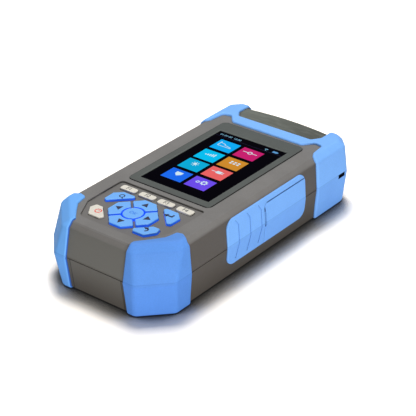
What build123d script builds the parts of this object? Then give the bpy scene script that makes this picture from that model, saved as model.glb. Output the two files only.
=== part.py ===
from build123d import *
import os
from collections import namedtuple

# Handheld optical time domain reflectometer, lying on its back.
# The origin is the middle of its footprint on the surface below it, +Z is out of
# the display, +Y is towards the connectors and +X is to the right of the display.
# All sizes are in millimetres.

os.makedirs("parts", exist_ok=True)

# Rubber that stands proud of the shells and the depth of its seat in them
bumper_proud = 1.5
bumper_seat = 1.5
cover_proud = 1.0
cover_seat = 1.2
seat_gap = 0.05
wall = 2.6

# Display
window_width = 51.5
window_length = 74.2
bezel_side = 5.25
bezel_near_border = 5.8
bezel_far_border = 10.7
bezel_round = 3.5
bezel_proud = 0.4
bezel_depth = 1.6
bezel_gap = 0.2
window_edge_bevel = 0.5
lip_thickness = 0.7
lens_thickness = 1.1
lens_margin = 1.4
module_side_margin = 1.95
module_end_margin = 2.9
module_thickness = 3.5
module_gap = 0.4

# Steps along the casing, from its near end to its far end
near_end_to_pad = 33.4
pad_to_function_keys = 20.2
function_keys_to_keypad_far = 5.4
keypad_to_bezel = 3.6
bezel_to_strip = 1.9
strip_width = 8.5
strip_to_bay = 0.4
bay_depth = 16.9

# Outer form of the two shells
side_border = 14.0
parting_height = 21.5
shoulder_depth = 3.0

# How far each wall leans in from the parting line, at the underside and the shoulder
foot_lean = 2.5
side_lean = 0.7
side_bevel = 2.9
near_foot_lean = 2.0
near_lean = 4.5
near_bevel = 3.0
far_foot_lean = 1.5
far_lean = 0.5
far_bevel = 2.3

# Corner cuts in plan, at the parting line, and their growth away from it
near_cut = 15.5
near_foot_cut_growth = 0.5
near_shoulder_cut_growth = 3.0
far_cut = 5.5
far_shoulder_cut_growth = 1.0
corner_round = 2.0
bumper_corner_round = 4.5
bumper_edge_round = 3.0
bumper_foot_round = 3.0
bumper_rim_round = 1.2
bumper_outline_round = 2.0
casing_edge_round = 0.8

# Seal between the shells
seam_width = 0.4
seal_inset = 1.7
seal_width = 0.7

# Keypad
keypad_depth = 1.1
keypad_margin = 13.4
keypad_near_margin = 14.0
keypad_side_drop = 3.9
keypad_near_inset = 8.6
keypad_round = 2.5
keypad_near_round = 5.0
key_gap = 0.3
key_travel = 0.8
key_rest_gap = 0.1
flange_thickness = 0.9
flange_width = 0.9
blue_key_rise = 1.5
cream_key_rise = 1.1
blue_key_round = 0.45
cream_key_round = 0.35
ok_radius = 6.0
arrow_inner_radius = 6.9
arrow_reach = 15.3
arrow_half_flat = 4.2
arrow_half_gap = 0.75
arrow_round = 0.7
tab_width = 0.8
tab_reach = 8.6
function_key_width = 11.4
function_key_height = 4.6
function_key_round = 1.5
function_key_pitch = 14.15
corner_key_margin = 6.4
corner_key_round = 0.9

# Keypad mat and board
mat_clearance = 0.2
mat_thickness = 0.8
mat_side_margin = 1.1
mat_end_margin = 0.5
mat_cut = 7.0
mat_rim = 1.4
board_thickness = 1.6
keypad_board_margin = 10.0
keypad_post_radius = 1.9
keypad_post_inset = 2.0
keypad_post_far = 2.9
keypad_post_near = 4.9

# Posts, screws and main board
post_inset = 8.0
post_far_inset = 20.0
post_near_inset = 42.5
post_radius = 3.4
post_gap = 0.3
case_screw_radius = 1.5
case_screw_head_radius = 2.8
case_screw_head_height = 2.0
case_screw_bite = 9.0
case_screw_sink = 2.6
door_screw_length = 8.0
screw_gap = 0.1
standoff_radius = 2.0
standoff_gap = 0.1
standoff_far_inset = 14.0
standoff_near_inset = 33.0
board_screw_radius = 0.8
board_screw_head_radius = 1.7
board_screw_head_height = 1.1
board_screw_bite = 3.0
board_side_margin = 2.8
board_end_margin = 8.0
chip_pitch = 18.0
chip_size = 11.0
chip_height = 1.4

# Connector bay at the far end, its panel and adapters
bay_side_margin = 13.7
bay_narrowing = 3.3
bay_wall_setback = 1.6
bay_corner_step = 5.0
bay_corner_run = 4.0
end_wall = 2.6
ledge_drop = 1.9
ledge_thickness = 3.2
ledge_reach = 2.0
panel_lap = 1.0
panel_floor_gap = 2.1
panel_top_drop = 5.8
panel_thickness = 1.5
panel_round = 2.0
panel_screw_inset = 3.0
adapter_x = 18.5
adapter_rise = 3.5
adapter_reach = 9.0
adapter_tail = 5.0
adapter_flange = 11.0
adapter_flange_thickness = 1.2
adapter_barrel_radius = 4.0
adapter_neck_radius = 3.6
adapter_neck_length = 1.5
adapter_mouth_radius = 3.1
sleeve_radius = 2.0
ferrule_bore_radius = 1.28
ferrule_depth = 8.0
key_slot_width = 2.2
key_slot_depth = 3.0
meter_port_radius = 5.0
meter_port_bore_radius = 3.6
meter_port_depth = 6.0

# Dust cover over the bay
cover_gap = 0.3
cover_thickness = 1.8
cover_top_rise = 0.2
cover_bow = 2.3
cover_overhang = 0.1
cover_shoulder = 2.6
cover_roll_radius = 4.4
cover_swing_gap = 0.3
cover_barrel_radius = 2.2
cover_pin_radius = 0.8
cover_pin_hold = 7.0
cover_pin_grip = 3.5
pin_gap = 0.05

# Outlines of the rubber on the flat top
top_bumper_arm = 9.1
near_bumper_inset = 23.4
near_bumper_side = 29.5

# Strap slot
strap_slot_step = 6.2
strap_slot_drop = 0.2
strap_slot_length = 6.8
strap_slot_height = 2.9
strap_slot_depth = 6.0

# Side covers, port flap and ports
side_cover_shift = 8.0
side_cover_length = 73.2
side_cover_foot = 7.5
side_cover_round = 6.0
side_cover_rim_round = 0.5
flap_rim_round = 0.4
groove_width = 0.9
groove_depth = 0.5
groove_start = 9.8
groove_pitch = 10.4
groove_count = 3
groove_foot = 3.0
groove_head = 2.2
groove_bend_drop = 6.0
groove_swing = 2.6
flap_start = 34.2
flap_drop = 3.8
flap_round = 3.0
flap_gap = 0.3
flap_back_gap = 0.2
nick_length = 9.0
nick_width = 1.1
nick_drop = 9.7
port_start = 2.9
port_margin = 0.8
port_spacing = 1.6
port_head_room = 8.7
port_round = 1.0
port_depth = 4.4
port_wall = 1.4
socket_gap = 0.15
usb_width = 13.1
usb_height = 5.8
usb_length = 14.0
usb_skin = 0.5
usb_tongue = 1.8
usb_tongue_width = 11.0
jack_width = 9.0
jack_length = 13.0
jack_bore_radius = 3.1
jack_bore_depth = 9.0
jack_pin_radius = 1.0

# Underside: battery door, battery and stand
door_half_width = 20.0
door_length = 60.5
door_thickness = 1.7
door_gap = 0.25
door_screw_inset = 6.0
door_screw_side_inset = 4.5
door_post_radius = 2.6
battery_side_inset = 4.0
battery_end_inset = 7.5
battery_length = 41.0
battery_thickness = 14.0
battery_gap = 0.3
battery_round = 1.5
door_rib_pitch = 14.0
door_rib_width = 1.6
tray_wall = 1.2
stand_half_width = 22.0
stand_to_door = 14.0
stand_length = 62.0
stand_thickness = 2.4
stand_depth = 3.0
stand_gap = 0.4
stand_leg_width = 9.0
stand_bar = 10.0
stand_round = 3.0
stand_barrel_radius = 1.4
stand_pin_radius = 0.8
stand_pin_grip = 3.0
stand_floor = 1.6
finger_radius = 7.0
finger_depth = 2.6

# Optical module
optics_side_gap = 2.2
optics_to_wall = 12.0
optics_length = 56.0
optics_height = 15.0
optics_head_room = 0.7
optics_lid = 2.0
optics_lid_inset = 1.0
optics_port_radius = 2.5
optics_port_length = 2.5

# Heights that follow from the sizes above
base_height = bumper_proud
floor_height = base_height + wall
stand_hinge_z = base_height + stand_barrel_radius
optics_base = base_height + stand_depth + stand_floor
main_board_top = optics_base + optics_height + optics_head_room + board_thickness
port_low = main_board_top - port_margin
port_high = main_board_top + jack_width + port_margin
usb_z = main_board_top + usb_height / 2
jack_z = main_board_top + jack_width / 2
top_height = port_high + port_head_room
shoulder_height = top_height - shoulder_depth
plate_height = top_height - wall
keypad_height = top_height - keypad_depth
flange_top = plate_height - key_rest_gap
flange_base = flange_top - flange_thickness
mat_top = flange_base - key_travel - mat_clearance
mat_base = mat_top - mat_thickness
keypad_board_base = mat_base - board_thickness
bezel_top = top_height + bezel_proud
bezel_base = bezel_top - bezel_depth
lens_top = bezel_top - lip_thickness
lens_base = lens_top - lens_thickness
module_base = lens_base - module_thickness
cover_top = top_height + cover_top_rise
ledge_height = top_height - ledge_drop
panel_low = floor_height + panel_floor_gap
panel_high = top_height - panel_top_drop
adapter_z = parting_height + adapter_rise
cover_pivot_z = floor_height + cover_roll_radius + cover_swing_gap
strap_slot_z = parting_height - strap_slot_drop
side_cover_low = base_height + side_cover_foot
side_cover_high = shoulder_height
flap_high = side_cover_high - flap_drop
nick_z = flap_high - nick_drop

# Widths that follow
bezel_width = window_width + 2 * bezel_side
half_width = bezel_width / 2 + side_border
module_width = window_width + 2 * module_side_margin
standoff_x = module_width / 2 + module_gap + standoff_radius + standoff_gap
main_board_half_width = standoff_x + board_side_margin
optics_half_width = standoff_x - standoff_radius - optics_side_gap
post_x = half_width - post_inset
keypad_half_width = half_width - keypad_margin
keypad_near_half_width = keypad_half_width - keypad_near_inset
corner_key_reach = keypad_half_width - corner_key_margin
mat_half_width = keypad_half_width - mat_side_margin
keypad_board_half_width = half_width - keypad_board_margin
keypad_post_x = keypad_board_half_width - keypad_post_inset
bay_half_width = half_width - bay_side_margin
bay_near_half_width = bay_half_width - bay_narrowing
cover_half_width = bay_half_width - cover_gap
cover_near_half_width = bay_near_half_width - cover_gap
cover_pin_half_outer = bay_half_width + cover_pin_grip
cover_pin_half_inner = cover_half_width - cover_pin_hold
panel_half_width = bay_near_half_width + panel_lap
panel_screw_x = panel_half_width - panel_screw_inset
near_bumper_inner_x = half_width - near_bumper_inset
port_floor_x = half_width - port_depth
door_screw_x = door_half_width - door_screw_side_inset
battery_half_width = door_half_width - battery_side_inset
pin_span = stand_half_width + stand_gap + stand_pin_grip

# Places along the casing that follow
bezel_length = window_length + bezel_near_border + bezel_far_border
keypad_length = near_end_to_pad + pad_to_function_keys + function_keys_to_keypad_far
far_length = bezel_to_strip + strip_width + strip_to_bay + bay_depth
half_length = (keypad_length + keypad_to_bezel + bezel_length + far_length) / 2
pad_y = -half_length + near_end_to_pad
function_key_y = pad_y + pad_to_function_keys
keypad_far = function_key_y + function_keys_to_keypad_far
keypad_near = -half_length + keypad_near_margin
keypad_side_end = pad_y - keypad_side_drop
keypad_post_ys = (function_key_y + keypad_post_far, pad_y - keypad_post_near)
mat_far = keypad_far + mat_end_margin
mat_near = keypad_near + mat_end_margin
bezel_near_y = keypad_far + keypad_to_bezel
bezel_far_y = bezel_near_y + bezel_length
bezel_y = (bezel_near_y + bezel_far_y) / 2
display_y = bezel_near_y + bezel_near_border + window_length / 2
module_length = window_length + 2 * module_end_margin
strip_near_y = bezel_far_y + bezel_to_strip
strip_far_y = strip_near_y + strip_width
bay_step_y = strip_far_y + strip_to_bay
bay_wall_y = bay_step_y - bay_wall_setback
bay_corner_y = bay_step_y + bay_corner_step
cover_centre_y = half_length + cover_overhang
cover_side_y = cover_centre_y - cover_bow
cover_pivot_y = cover_centre_y - cover_roll_radius
strap_slot_y = bay_step_y + strap_slot_step
top_bumper_arm_y = strip_near_y - top_bumper_arm
near_bumper_side_y = -half_length + near_bumper_side
post_far_y = bay_wall_y - post_far_inset
post_near_y = -half_length + post_near_inset
standoff_far_y = bay_wall_y - standoff_far_inset
standoff_near_y = display_y - standoff_near_inset
main_board_near = standoff_near_y - board_end_margin
main_board_far = standoff_far_y + board_end_margin
side_cover_y = display_y - side_cover_shift
side_cover_near_y = side_cover_y - side_cover_length / 2
groove_y = side_cover_near_y + groove_start
flap_near_y = side_cover_near_y + flap_start
port_near_y = flap_near_y + port_start
jack_y = port_near_y + port_margin + jack_width / 2
usb_y = jack_y + jack_width / 2 + port_spacing + usb_width / 2
port_far_y = usb_y + usb_width / 2 + port_margin
door_far_y = -half_length + door_length
door_screw_y = door_far_y - door_screw_inset
battery_near = -half_length + battery_end_inset
battery_far = battery_near + battery_length
stand_near_y = door_far_y + stand_to_door
stand_hinge_y = stand_near_y + stand_length
optics_far = bay_wall_y - optics_to_wall
optics_near = optics_far - optics_length
BEYOND = 60.0
TOUCHING = 0.01


# Outer form

Level = namedtuple("Level", "height half_width near far near_cut far_cut")


def levels(grow):
    """The plan sizes of the form at each height, with every wall moved out by grow."""
    bevel_share = 0.414
    cut_share = 0.586
    return [
        Level(
            base_height - grow,
            half_width - foot_lean + grow,
            half_length - near_foot_lean + grow,
            half_length - far_foot_lean + grow,
            near_cut + near_foot_cut_growth + cut_share * grow,
            far_cut + cut_share * grow,
        ),
        Level(
            parting_height,
            half_width + grow,
            half_length + grow,
            half_length + grow,
            near_cut + cut_share * grow,
            far_cut + cut_share * grow,
        ),
        Level(
            shoulder_height + bevel_share * grow,
            half_width - side_lean + grow,
            half_length - near_lean + grow,
            half_length - far_lean + grow,
            near_cut + near_shoulder_cut_growth + cut_share * grow,
            far_cut + far_shoulder_cut_growth + cut_share * grow,
        ),
        Level(
            top_height + grow,
            half_width - side_lean - side_bevel + bevel_share * grow,
            half_length - near_lean - near_bevel + bevel_share * grow,
            half_length - far_lean - far_bevel + bevel_share * grow,
            near_cut + near_shoulder_cut_growth,
            far_cut,
        ),
    ]


def ring(piece, height):
    """The edges of a piece that run level at a height."""
    boxes = [(edge, edge.bounding_box()) for edge in piece.edges()]
    return [
        edge
        for edge, box in boxes
        if abs(box.min.Z - height) < TOUCHING and abs(box.max.Z - height) < TOUCHING
    ]


def casing_form(grow, plan_round=corner_round, edge_round=0.0, foot_round=0.0):
    """The closed form of the casing, with every wall moved out by grow and its edges rounded."""
    with BuildPart() as form:
        for level in levels(grow):
            with BuildSketch(Plane.XY.offset(level.height)):
                with Locations((0, (level.far - level.near) / 2)):
                    Rectangle(2 * level.half_width, level.near + level.far)
                chamfer(vertices().group_by(Axis.Y)[0], level.near_cut)
                chamfer(vertices().group_by(Axis.Y)[-1], level.far_cut)
                fillet(vertices(), plan_round)
        loft(ruled=True)
        if edge_round:
            fillet(ring(form, levels(grow)[3].height) + ring(form, levels(grow)[2].height), edge_round)
        if foot_round:
            fillet(ring(form, levels(grow)[0].height), foot_round)
    return form.part


def filled(points, radius=0.0):
    """Fills the closed outline through points in the open sketch and rounds its corners."""
    with BuildLine() as outline:
        Polyline(*points, close=True)
    make_face(outline.edges())
    if radius:
        fillet(vertices(), radius)


def both_halves(points):
    """The closed outline that a right half makes with its mirror image."""
    return points + [(-x, y) for x, y in reversed(points)]


def save(piece, name):
    """Labels a finished piece and writes it."""
    piece.part.label = name
    export_step(piece.part, f"parts/{name}.step")


def rim_edges(piece, form):
    """The edges between the outer surface of a piece and the upright walls cut round it."""
    walls = []
    for face in piece.faces():
        outward = face.normal_at(face.center())
        upright = min(abs(outward.Z), abs(outward.X)) < TOUCHING and abs(face.center().Z) > TOUCHING
        if upright and form.is_inside(face.center() + outward * TOUCHING * 10):
            walls.append(face)
    edges = [edge for wall in walls for edge in wall.edges()]
    return [edge for edge in edges if sum(edge.is_same(other) for other in edges) == 1]


outer_form = casing_form(0, corner_round, casing_edge_round)
cavity_form = casing_form(-wall)
bumper_outer_form = casing_form(bumper_proud, bumper_corner_round, bumper_edge_round, bumper_foot_round)
bumper_seat_form = casing_form(-bumper_seat)
bumper_inner_form = casing_form(-bumper_seat + seat_gap)
side_outer_form = casing_form(cover_proud)
side_seat_form = casing_form(-cover_seat)
side_inner_form = casing_form(-cover_seat + seat_gap)
door_form = casing_form(-door_thickness)
seal_outer_form = casing_form(-seal_inset)
seal_inner_form = casing_form(-seal_inset - seal_width)


# Outlines shared by a piece and its seat

top_bumper_outline = both_halves(
    [
        (half_width - 19.0, strip_near_y),
        (half_width - 17.5, strip_near_y + 1.0),
        (half_width - 12.7, strip_near_y + 6.4),
        (half_width - 6.8, strip_near_y + 5.4),
        (half_width - 5.6, strip_near_y - 5.0),
        (half_width - 4.0, top_bumper_arm_y + 1.2),
        (half_width - 2.0, top_bumper_arm_y),
        (half_width + BEYOND, top_bumper_arm_y),
        (half_width + BEYOND, half_length + BEYOND),
        (bay_half_width + 0.4, half_length + BEYOND),
        (bay_half_width + 0.4, bay_corner_y),
        (bay_near_half_width, strip_far_y),
    ]
)

near_bumper_outline = [
    (near_bumper_inner_x, -half_length - BEYOND),
    (near_bumper_inner_x, -half_length + 9.7),
    (half_width - 17.4, -half_length + 16.6),
    (half_width - 12.3, -half_length + 23.1),
    (half_width - 11.2, -half_length + 27.5),
    (half_width - 10.6, near_bumper_side_y + 1.6),
    (half_width - 6.5, near_bumper_side_y + 2.4),
    (half_width - 1.5, near_bumper_side_y - 0.5),
    (half_width + BEYOND, near_bumper_side_y - 0.5),
    (half_width + BEYOND, -half_length - BEYOND),
]

keypad_outline = both_halves(
    [
        (keypad_half_width, keypad_far),
        (keypad_half_width - 0.4, keypad_side_end),
        (keypad_near_half_width, keypad_near),
    ]
)

bay_outline = both_halves(
    [
        (bay_near_half_width, bay_step_y),
        (bay_near_half_width, bay_corner_y - bay_corner_run),
        (bay_half_width, bay_corner_y),
        (bay_half_width, half_length + BEYOND),
    ]
)


def side_cover_prism(margin=0.0):
    """A block across the casing with the outline of a side cover, larger by margin."""
    with BuildPart() as block:
        with BuildSketch(Plane.YZ.offset(-BEYOND)):
            with Locations((side_cover_y, (side_cover_low + side_cover_high) / 2)):
                RectangleRounded(
                    side_cover_length + 2 * margin,
                    side_cover_high - side_cover_low + 2 * margin,
                    side_cover_round + margin,
                )
        extrude(amount=2 * BEYOND)
    return block.part


def flap_prism(margin=0.0):
    """A block out of the right side over the part of the cover that opens, larger by margin."""
    with BuildPart() as block:
        with BuildSketch(Plane.YZ):
            with Locations((flap_near_y - margin, flap_high + margin)):
                Rectangle(BEYOND, BEYOND, align=(Align.MIN, Align.MAX))
            fillet(vertices().sort_by(Axis.X)[:2].sort_by(Axis.Y)[-1], flap_round + margin)
        extrude(amount=BEYOND)
    return block.part


# Regions cut out of the shells for what seats in them

with BuildPart() as bumper_seats:
    with BuildSketch(Plane.XY):
        filled(top_bumper_outline, bumper_outline_round)
    extrude(amount=BEYOND)
    with BuildSketch(Plane.XY):
        filled(near_bumper_outline, bumper_outline_round)
    extrude(amount=BEYOND)
    with BuildSketch(Plane.XY):
        filled([(-x, y) for x, y in near_bumper_outline], bumper_outline_round)
    extrude(amount=BEYOND)
    add(bumper_seat_form, mode=Mode.SUBTRACT)

with BuildPart() as cover_seats:
    add(side_cover_prism())
    add(side_seat_form, mode=Mode.SUBTRACT)

with BuildPart() as bay_space:
    with BuildSketch(Plane.XY.offset(ledge_height)):
        filled(bay_outline)
    extrude(amount=BEYOND)
    with BuildSketch(Plane.XY.offset(floor_height)):
        with Locations((0, bay_wall_y)):
            Rectangle(2 * bay_half_width, BEYOND, align=(Align.CENTER, Align.MIN))
    extrude(amount=ledge_height - ledge_thickness - floor_height)
    with BuildSketch(Plane.XY.offset(floor_height)):
        with Locations((0, bay_step_y + ledge_reach)):
            Rectangle(2 * bay_near_half_width, BEYOND, align=(Align.CENTER, Align.MIN))
        with Locations((0, bay_corner_y)):
            Rectangle(2 * bay_half_width, BEYOND, align=(Align.CENTER, Align.MIN))
    extrude(amount=ledge_height - floor_height + 1.0)


# Keys

Key = namedtuple("Key", "name x y turn draw rise round")


def draw_function_key():
    RectangleRounded(function_key_width, function_key_height, function_key_round)


def draw_arrow_key():
    """One of the four sectors around the middle key, the one that points along +Y."""
    gap_shift = arrow_half_gap / 2**0.5
    half_side = (arrow_reach + arrow_half_flat) / 2
    right = [
        (0, 2 * gap_shift),
        (half_side - gap_shift, half_side + gap_shift),
        (arrow_half_flat, arrow_reach),
    ]
    with BuildLine() as outline:
        Polyline(*(right + [(-x, y) for x, y in reversed(right[1:])]), close=True)
    make_face(outline.edges())
    Circle(arrow_inner_radius, mode=Mode.SUBTRACT)
    fillet(vertices(), arrow_round)


def draw_ok_key():
    Circle(ok_radius)


def draw_upper_corner_key():
    filled(
        [
            (10.9, 13.6),
            (12.2, 15.2),
            (corner_key_reach - 4.6, 15.2),
            (corner_key_reach, 11.0),
            (corner_key_reach - 0.2, 3.2),
            (corner_key_reach - 2.4, 2.3),
        ],
        corner_key_round,
    )


def draw_lower_corner_key():
    filled(
        [
            (11.0, -12.2),
            (corner_key_reach - 5.9, -4.2),
            (corner_key_reach - 1.3, -4.2),
            (corner_key_reach, -8.4),
            (corner_key_reach - 4.4, -14.6),
            (12.6, -14.6),
        ],
        corner_key_round,
    )


def mirrored(draw):
    """The same key on the other side of the keypad."""

    def draw_mirrored():
        draw()
        mirror(about=Plane.YZ, mode=Mode.REPLACE)

    return draw_mirrored


def key_plane(key, height):
    """The plane of a key's outline, turned the way that the key points."""
    return Plane(origin=(key.x, key.y, height), z_dir=(0, 0, 1)).rotated((0, 0, key.turn))


keys = []
blue = (blue_key_rise, blue_key_round)
cream = (cream_key_rise, cream_key_round)
for index in range(4):
    x = (index - 1.5) * function_key_pitch
    keys.append(Key(f"key_f{index + 1}", x, function_key_y, 0, draw_function_key, *cream))
for name, turn in (("up", 0), ("left", 90), ("down", 180), ("right", 270)):
    keys.append(Key(f"key_{name}", 0, pad_y, turn, draw_arrow_key, *blue))
keys.append(Key("key_enter", 0, pad_y, 0, draw_upper_corner_key, *blue))
keys.append(Key("key_search", 0, pad_y, 0, mirrored(draw_upper_corner_key), *blue))
keys.append(Key("key_back", 0, pad_y, 0, draw_lower_corner_key, *blue))
keys.append(Key("key_power", 0, pad_y, 0, mirrored(draw_lower_corner_key), *cream))
ok_key = Key("key_ok", 0, pad_y, 0, draw_ok_key, *blue)

for key in keys:
    with BuildPart() as cap:
        with BuildSketch(key_plane(key, flange_base)):
            key.draw()
        extrude(amount=keypad_height + key.rise - flange_base)
        fillet(cap.faces().sort_by(Axis.Z)[-1].edges(), key.round)
        if key.draw is draw_arrow_key:
            with BuildSketch(key_plane(key, flange_base)):
                with Locations((0, arrow_reach - flange_width)):
                    Rectangle(2 * arrow_half_flat, 4 * flange_width)
        else:
            with BuildSketch(key_plane(key, flange_base)):
                key.draw()
                offset(amount=flange_width, kind=Kind.ARC)
        extrude(amount=flange_thickness)
    save(cap, key.name)

with BuildPart() as ok_cap:
    with BuildSketch(key_plane(ok_key, flange_base)):
        draw_ok_key()
    extrude(amount=keypad_height + ok_key.rise - flange_base)
    fillet(ok_cap.faces().sort_by(Axis.Z)[-1].edges(), ok_key.round)
    with BuildSketch(key_plane(ok_key, flange_base)):
        with PolarLocations(0, 2, start_angle=45, angular_range=180):
            Rectangle(2 * tab_reach, tab_width)
    extrude(amount=flange_thickness)
save(ok_cap, ok_key.name)

with BuildPart() as key_holes:
    for key in keys:
        with BuildSketch(key_plane(key, plate_height - 1.0)):
            key.draw()
            offset(amount=key_gap, kind=Kind.ARC)
        extrude(amount=wall + 2.0)
    with BuildSketch(key_plane(ok_key, plate_height - 1.0)):
        Circle(arrow_inner_radius)
    extrude(amount=wall + 2.0)


# Port sockets behind the flap

sockets = (
    (usb_y, usb_z, usb_width, usb_height),
    (jack_y, jack_z, jack_width, jack_width),
)

with BuildPart() as port_pocket:
    with BuildSketch(Plane.YZ.offset(port_floor_x)):
        with Locations(((port_near_y + port_far_y) / 2, (port_low + port_high) / 2)):
            RectangleRounded(port_far_y - port_near_y, port_high - port_low, port_round)
    extrude(amount=BEYOND)
    for middle, centre_z, width, height in sockets:
        with BuildSketch(Plane.YZ.offset(port_floor_x - 2 * port_wall)):
            with Locations((middle, centre_z)):
                Rectangle(width + 2 * socket_gap, height + 2 * socket_gap)
        extrude(amount=3 * port_wall)

with BuildPart() as port_walls:
    with BuildSketch(Plane.YZ.offset(port_floor_x - port_wall)):
        with Locations(((port_near_y + port_far_y) / 2, (port_low + port_high) / 2)):
            Rectangle(port_far_y - port_near_y + 2 * port_wall, port_high - port_low + 2 * port_wall)
    extrude(amount=half_width - port_floor_x)
    add(side_seat_form, mode=Mode.INTERSECT)
    with BuildSketch(Plane.XY.offset(parting_height + seam_width)):
        Rectangle(4 * half_width, 4 * half_length)
    extrude(amount=BEYOND, mode=Mode.INTERSECT)


# Underside: recess of the stand, opening of the battery door and its seat

post_places = [(x, y) for x in (-post_x, post_x) for y in (post_near_y, post_far_y)]
door_screw_places = [(x, door_screw_y) for x in (-door_screw_x, door_screw_x)]

with BuildPart() as stand_space:
    with BuildSketch(Plane.XY.offset(base_height - 1.0)):
        with Locations((0, stand_near_y - stand_gap)):
            Rectangle(
                2 * (stand_half_width + stand_gap),
                stand_length + 2 * stand_barrel_radius + 2 * stand_gap,
                align=(Align.CENTER, Align.MIN),
            )
    extrude(amount=stand_depth + 1.0)
    fillet(stand_space.edges().filter_by(Axis.Z), stand_round + stand_gap)
    with BuildSketch(Plane.XY.offset(base_height - 1.0)):
        with Locations((0, stand_near_y - stand_gap)):
            Circle(finger_radius)
    extrude(amount=finger_depth + 1.0)

with BuildPart() as door_seat:
    with BuildSketch(Plane.XY):
        with Locations((0, door_far_y + door_gap)):
            Rectangle(
                2 * (door_half_width + door_gap),
                BEYOND + half_length,
                align=(Align.CENTER, Align.MAX),
            )
    extrude(amount=parting_height)
    add(door_form, mode=Mode.SUBTRACT)
    with BuildSketch(Plane.XY):
        with Locations((0, (battery_near + battery_far) / 2)):
            Rectangle(
                2 * (battery_half_width + battery_gap),
                battery_far - battery_near + 2 * battery_gap,
            )
    extrude(amount=floor_height + 1.0)


# Screws, each drawn once as a pin with a head and once more, wider, as its hole

Screw = namedtuple("Screw", "radius head_radius head_height length")
case_screw = Screw(
    case_screw_radius,
    case_screw_head_radius,
    case_screw_head_height,
    parting_height + case_screw_bite - base_height - case_screw_sink,
)
board_screw = Screw(
    board_screw_radius,
    board_screw_head_radius,
    board_screw_head_height,
    board_thickness + board_screw_bite,
)
door_screw = board_screw._replace(length=door_screw_length)
panel_screw = board_screw._replace(length=panel_thickness + board_screw_bite)


def screws(kind, seat, places, grow=0.0, head_room=0.0):
    """Screws at places on the plane seat, where their heads rest, with shanks along its normal."""
    with BuildPart() as group:
        with BuildSketch(seat):
            with Locations(*places):
                Circle(kind.radius + grow)
        extrude(amount=kind.length + grow)
        with BuildSketch(seat):
            with Locations(*places):
                Circle(kind.head_radius + grow)
        extrude(amount=-kind.head_height - head_room)
    return group


case_screw_seat = Plane.XY.offset(base_height + case_screw_sink)
door_screw_seat = Plane.XY.offset(base_height + board_screw_head_height)
panel_screw_places = [(x, adapter_z) for x in (-panel_screw_x, panel_screw_x)]
panel_face_y = bay_wall_y + panel_thickness
panel_screw_seat = Plane(origin=(0, panel_face_y, 0), x_dir=(1, 0, 0), z_dir=(0, -1, 0))
case_screw_holes = screws(case_screw, case_screw_seat, post_places, screw_gap, case_screw_sink)
door_screw_holes = screws(door_screw, door_screw_seat, door_screw_places, screw_gap, 1.0)
panel_screw_holes = screws(panel_screw, panel_screw_seat, panel_screw_places, screw_gap)

adapter_places = [(x, adapter_z) for x in (-adapter_x, 0, adapter_x)]
main_board_ys = (standoff_near_y, standoff_far_y)
main_board_places = [(x, y) for x in (-standoff_x, standoff_x) for y in main_board_ys]
keypad_board_places = [(x, y) for x in (-keypad_post_x, keypad_post_x) for y in keypad_post_ys]
main_board_screw_seat = Plane.XY.offset(main_board_top - board_thickness)
keypad_board_screw_seat = Plane.XY.offset(keypad_board_base)

with BuildPart() as board_screw_holes:
    add(screws(board_screw, main_board_screw_seat, main_board_places, screw_gap).part)
    add(screws(board_screw, keypad_board_screw_seat, keypad_board_places, screw_gap).part)

bay_wall_plane = Plane(origin=(0, bay_wall_y, 0), x_dir=(-1, 0, 0), z_dir=(0, 1, 0))

with BuildPart() as adapter_holes:
    with BuildSketch(bay_wall_plane):
        with Locations(*[(-x, z) for x, z in adapter_places]):
            Circle(adapter_barrel_radius + screw_gap)
    extrude(amount=-adapter_tail - end_wall)

with BuildPart() as cover_pin_holes:
    with BuildSketch(Plane.YZ.offset(-cover_pin_half_outer)):
        with Locations((cover_pivot_y, cover_pivot_z)):
            Circle(cover_pin_radius + pin_gap)
    extrude(amount=2 * cover_pin_half_outer)

with BuildPart() as stand_pin_holes:
    with BuildSketch(Plane.YZ.offset(-pin_span)):
        with Locations((stand_hinge_y, stand_hinge_z)):
            Circle(stand_pin_radius + pin_gap)
    extrude(amount=2 * pin_span)

with BuildPart() as strap_slots:
    with BuildSketch(Plane.YZ.offset(-BEYOND)):
        with Locations((strap_slot_y, strap_slot_z)):
            Rectangle(strap_slot_length, strap_slot_height)
    extrude(amount=2 * BEYOND)
    with BuildSketch(Plane.XZ.offset(-half_length - BEYOND)):
        Rectangle(2 * (half_width + bumper_proud - strap_slot_depth), 2 * BEYOND)
    extrude(amount=2 * BEYOND, mode=Mode.SUBTRACT)


# Front casing

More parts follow.
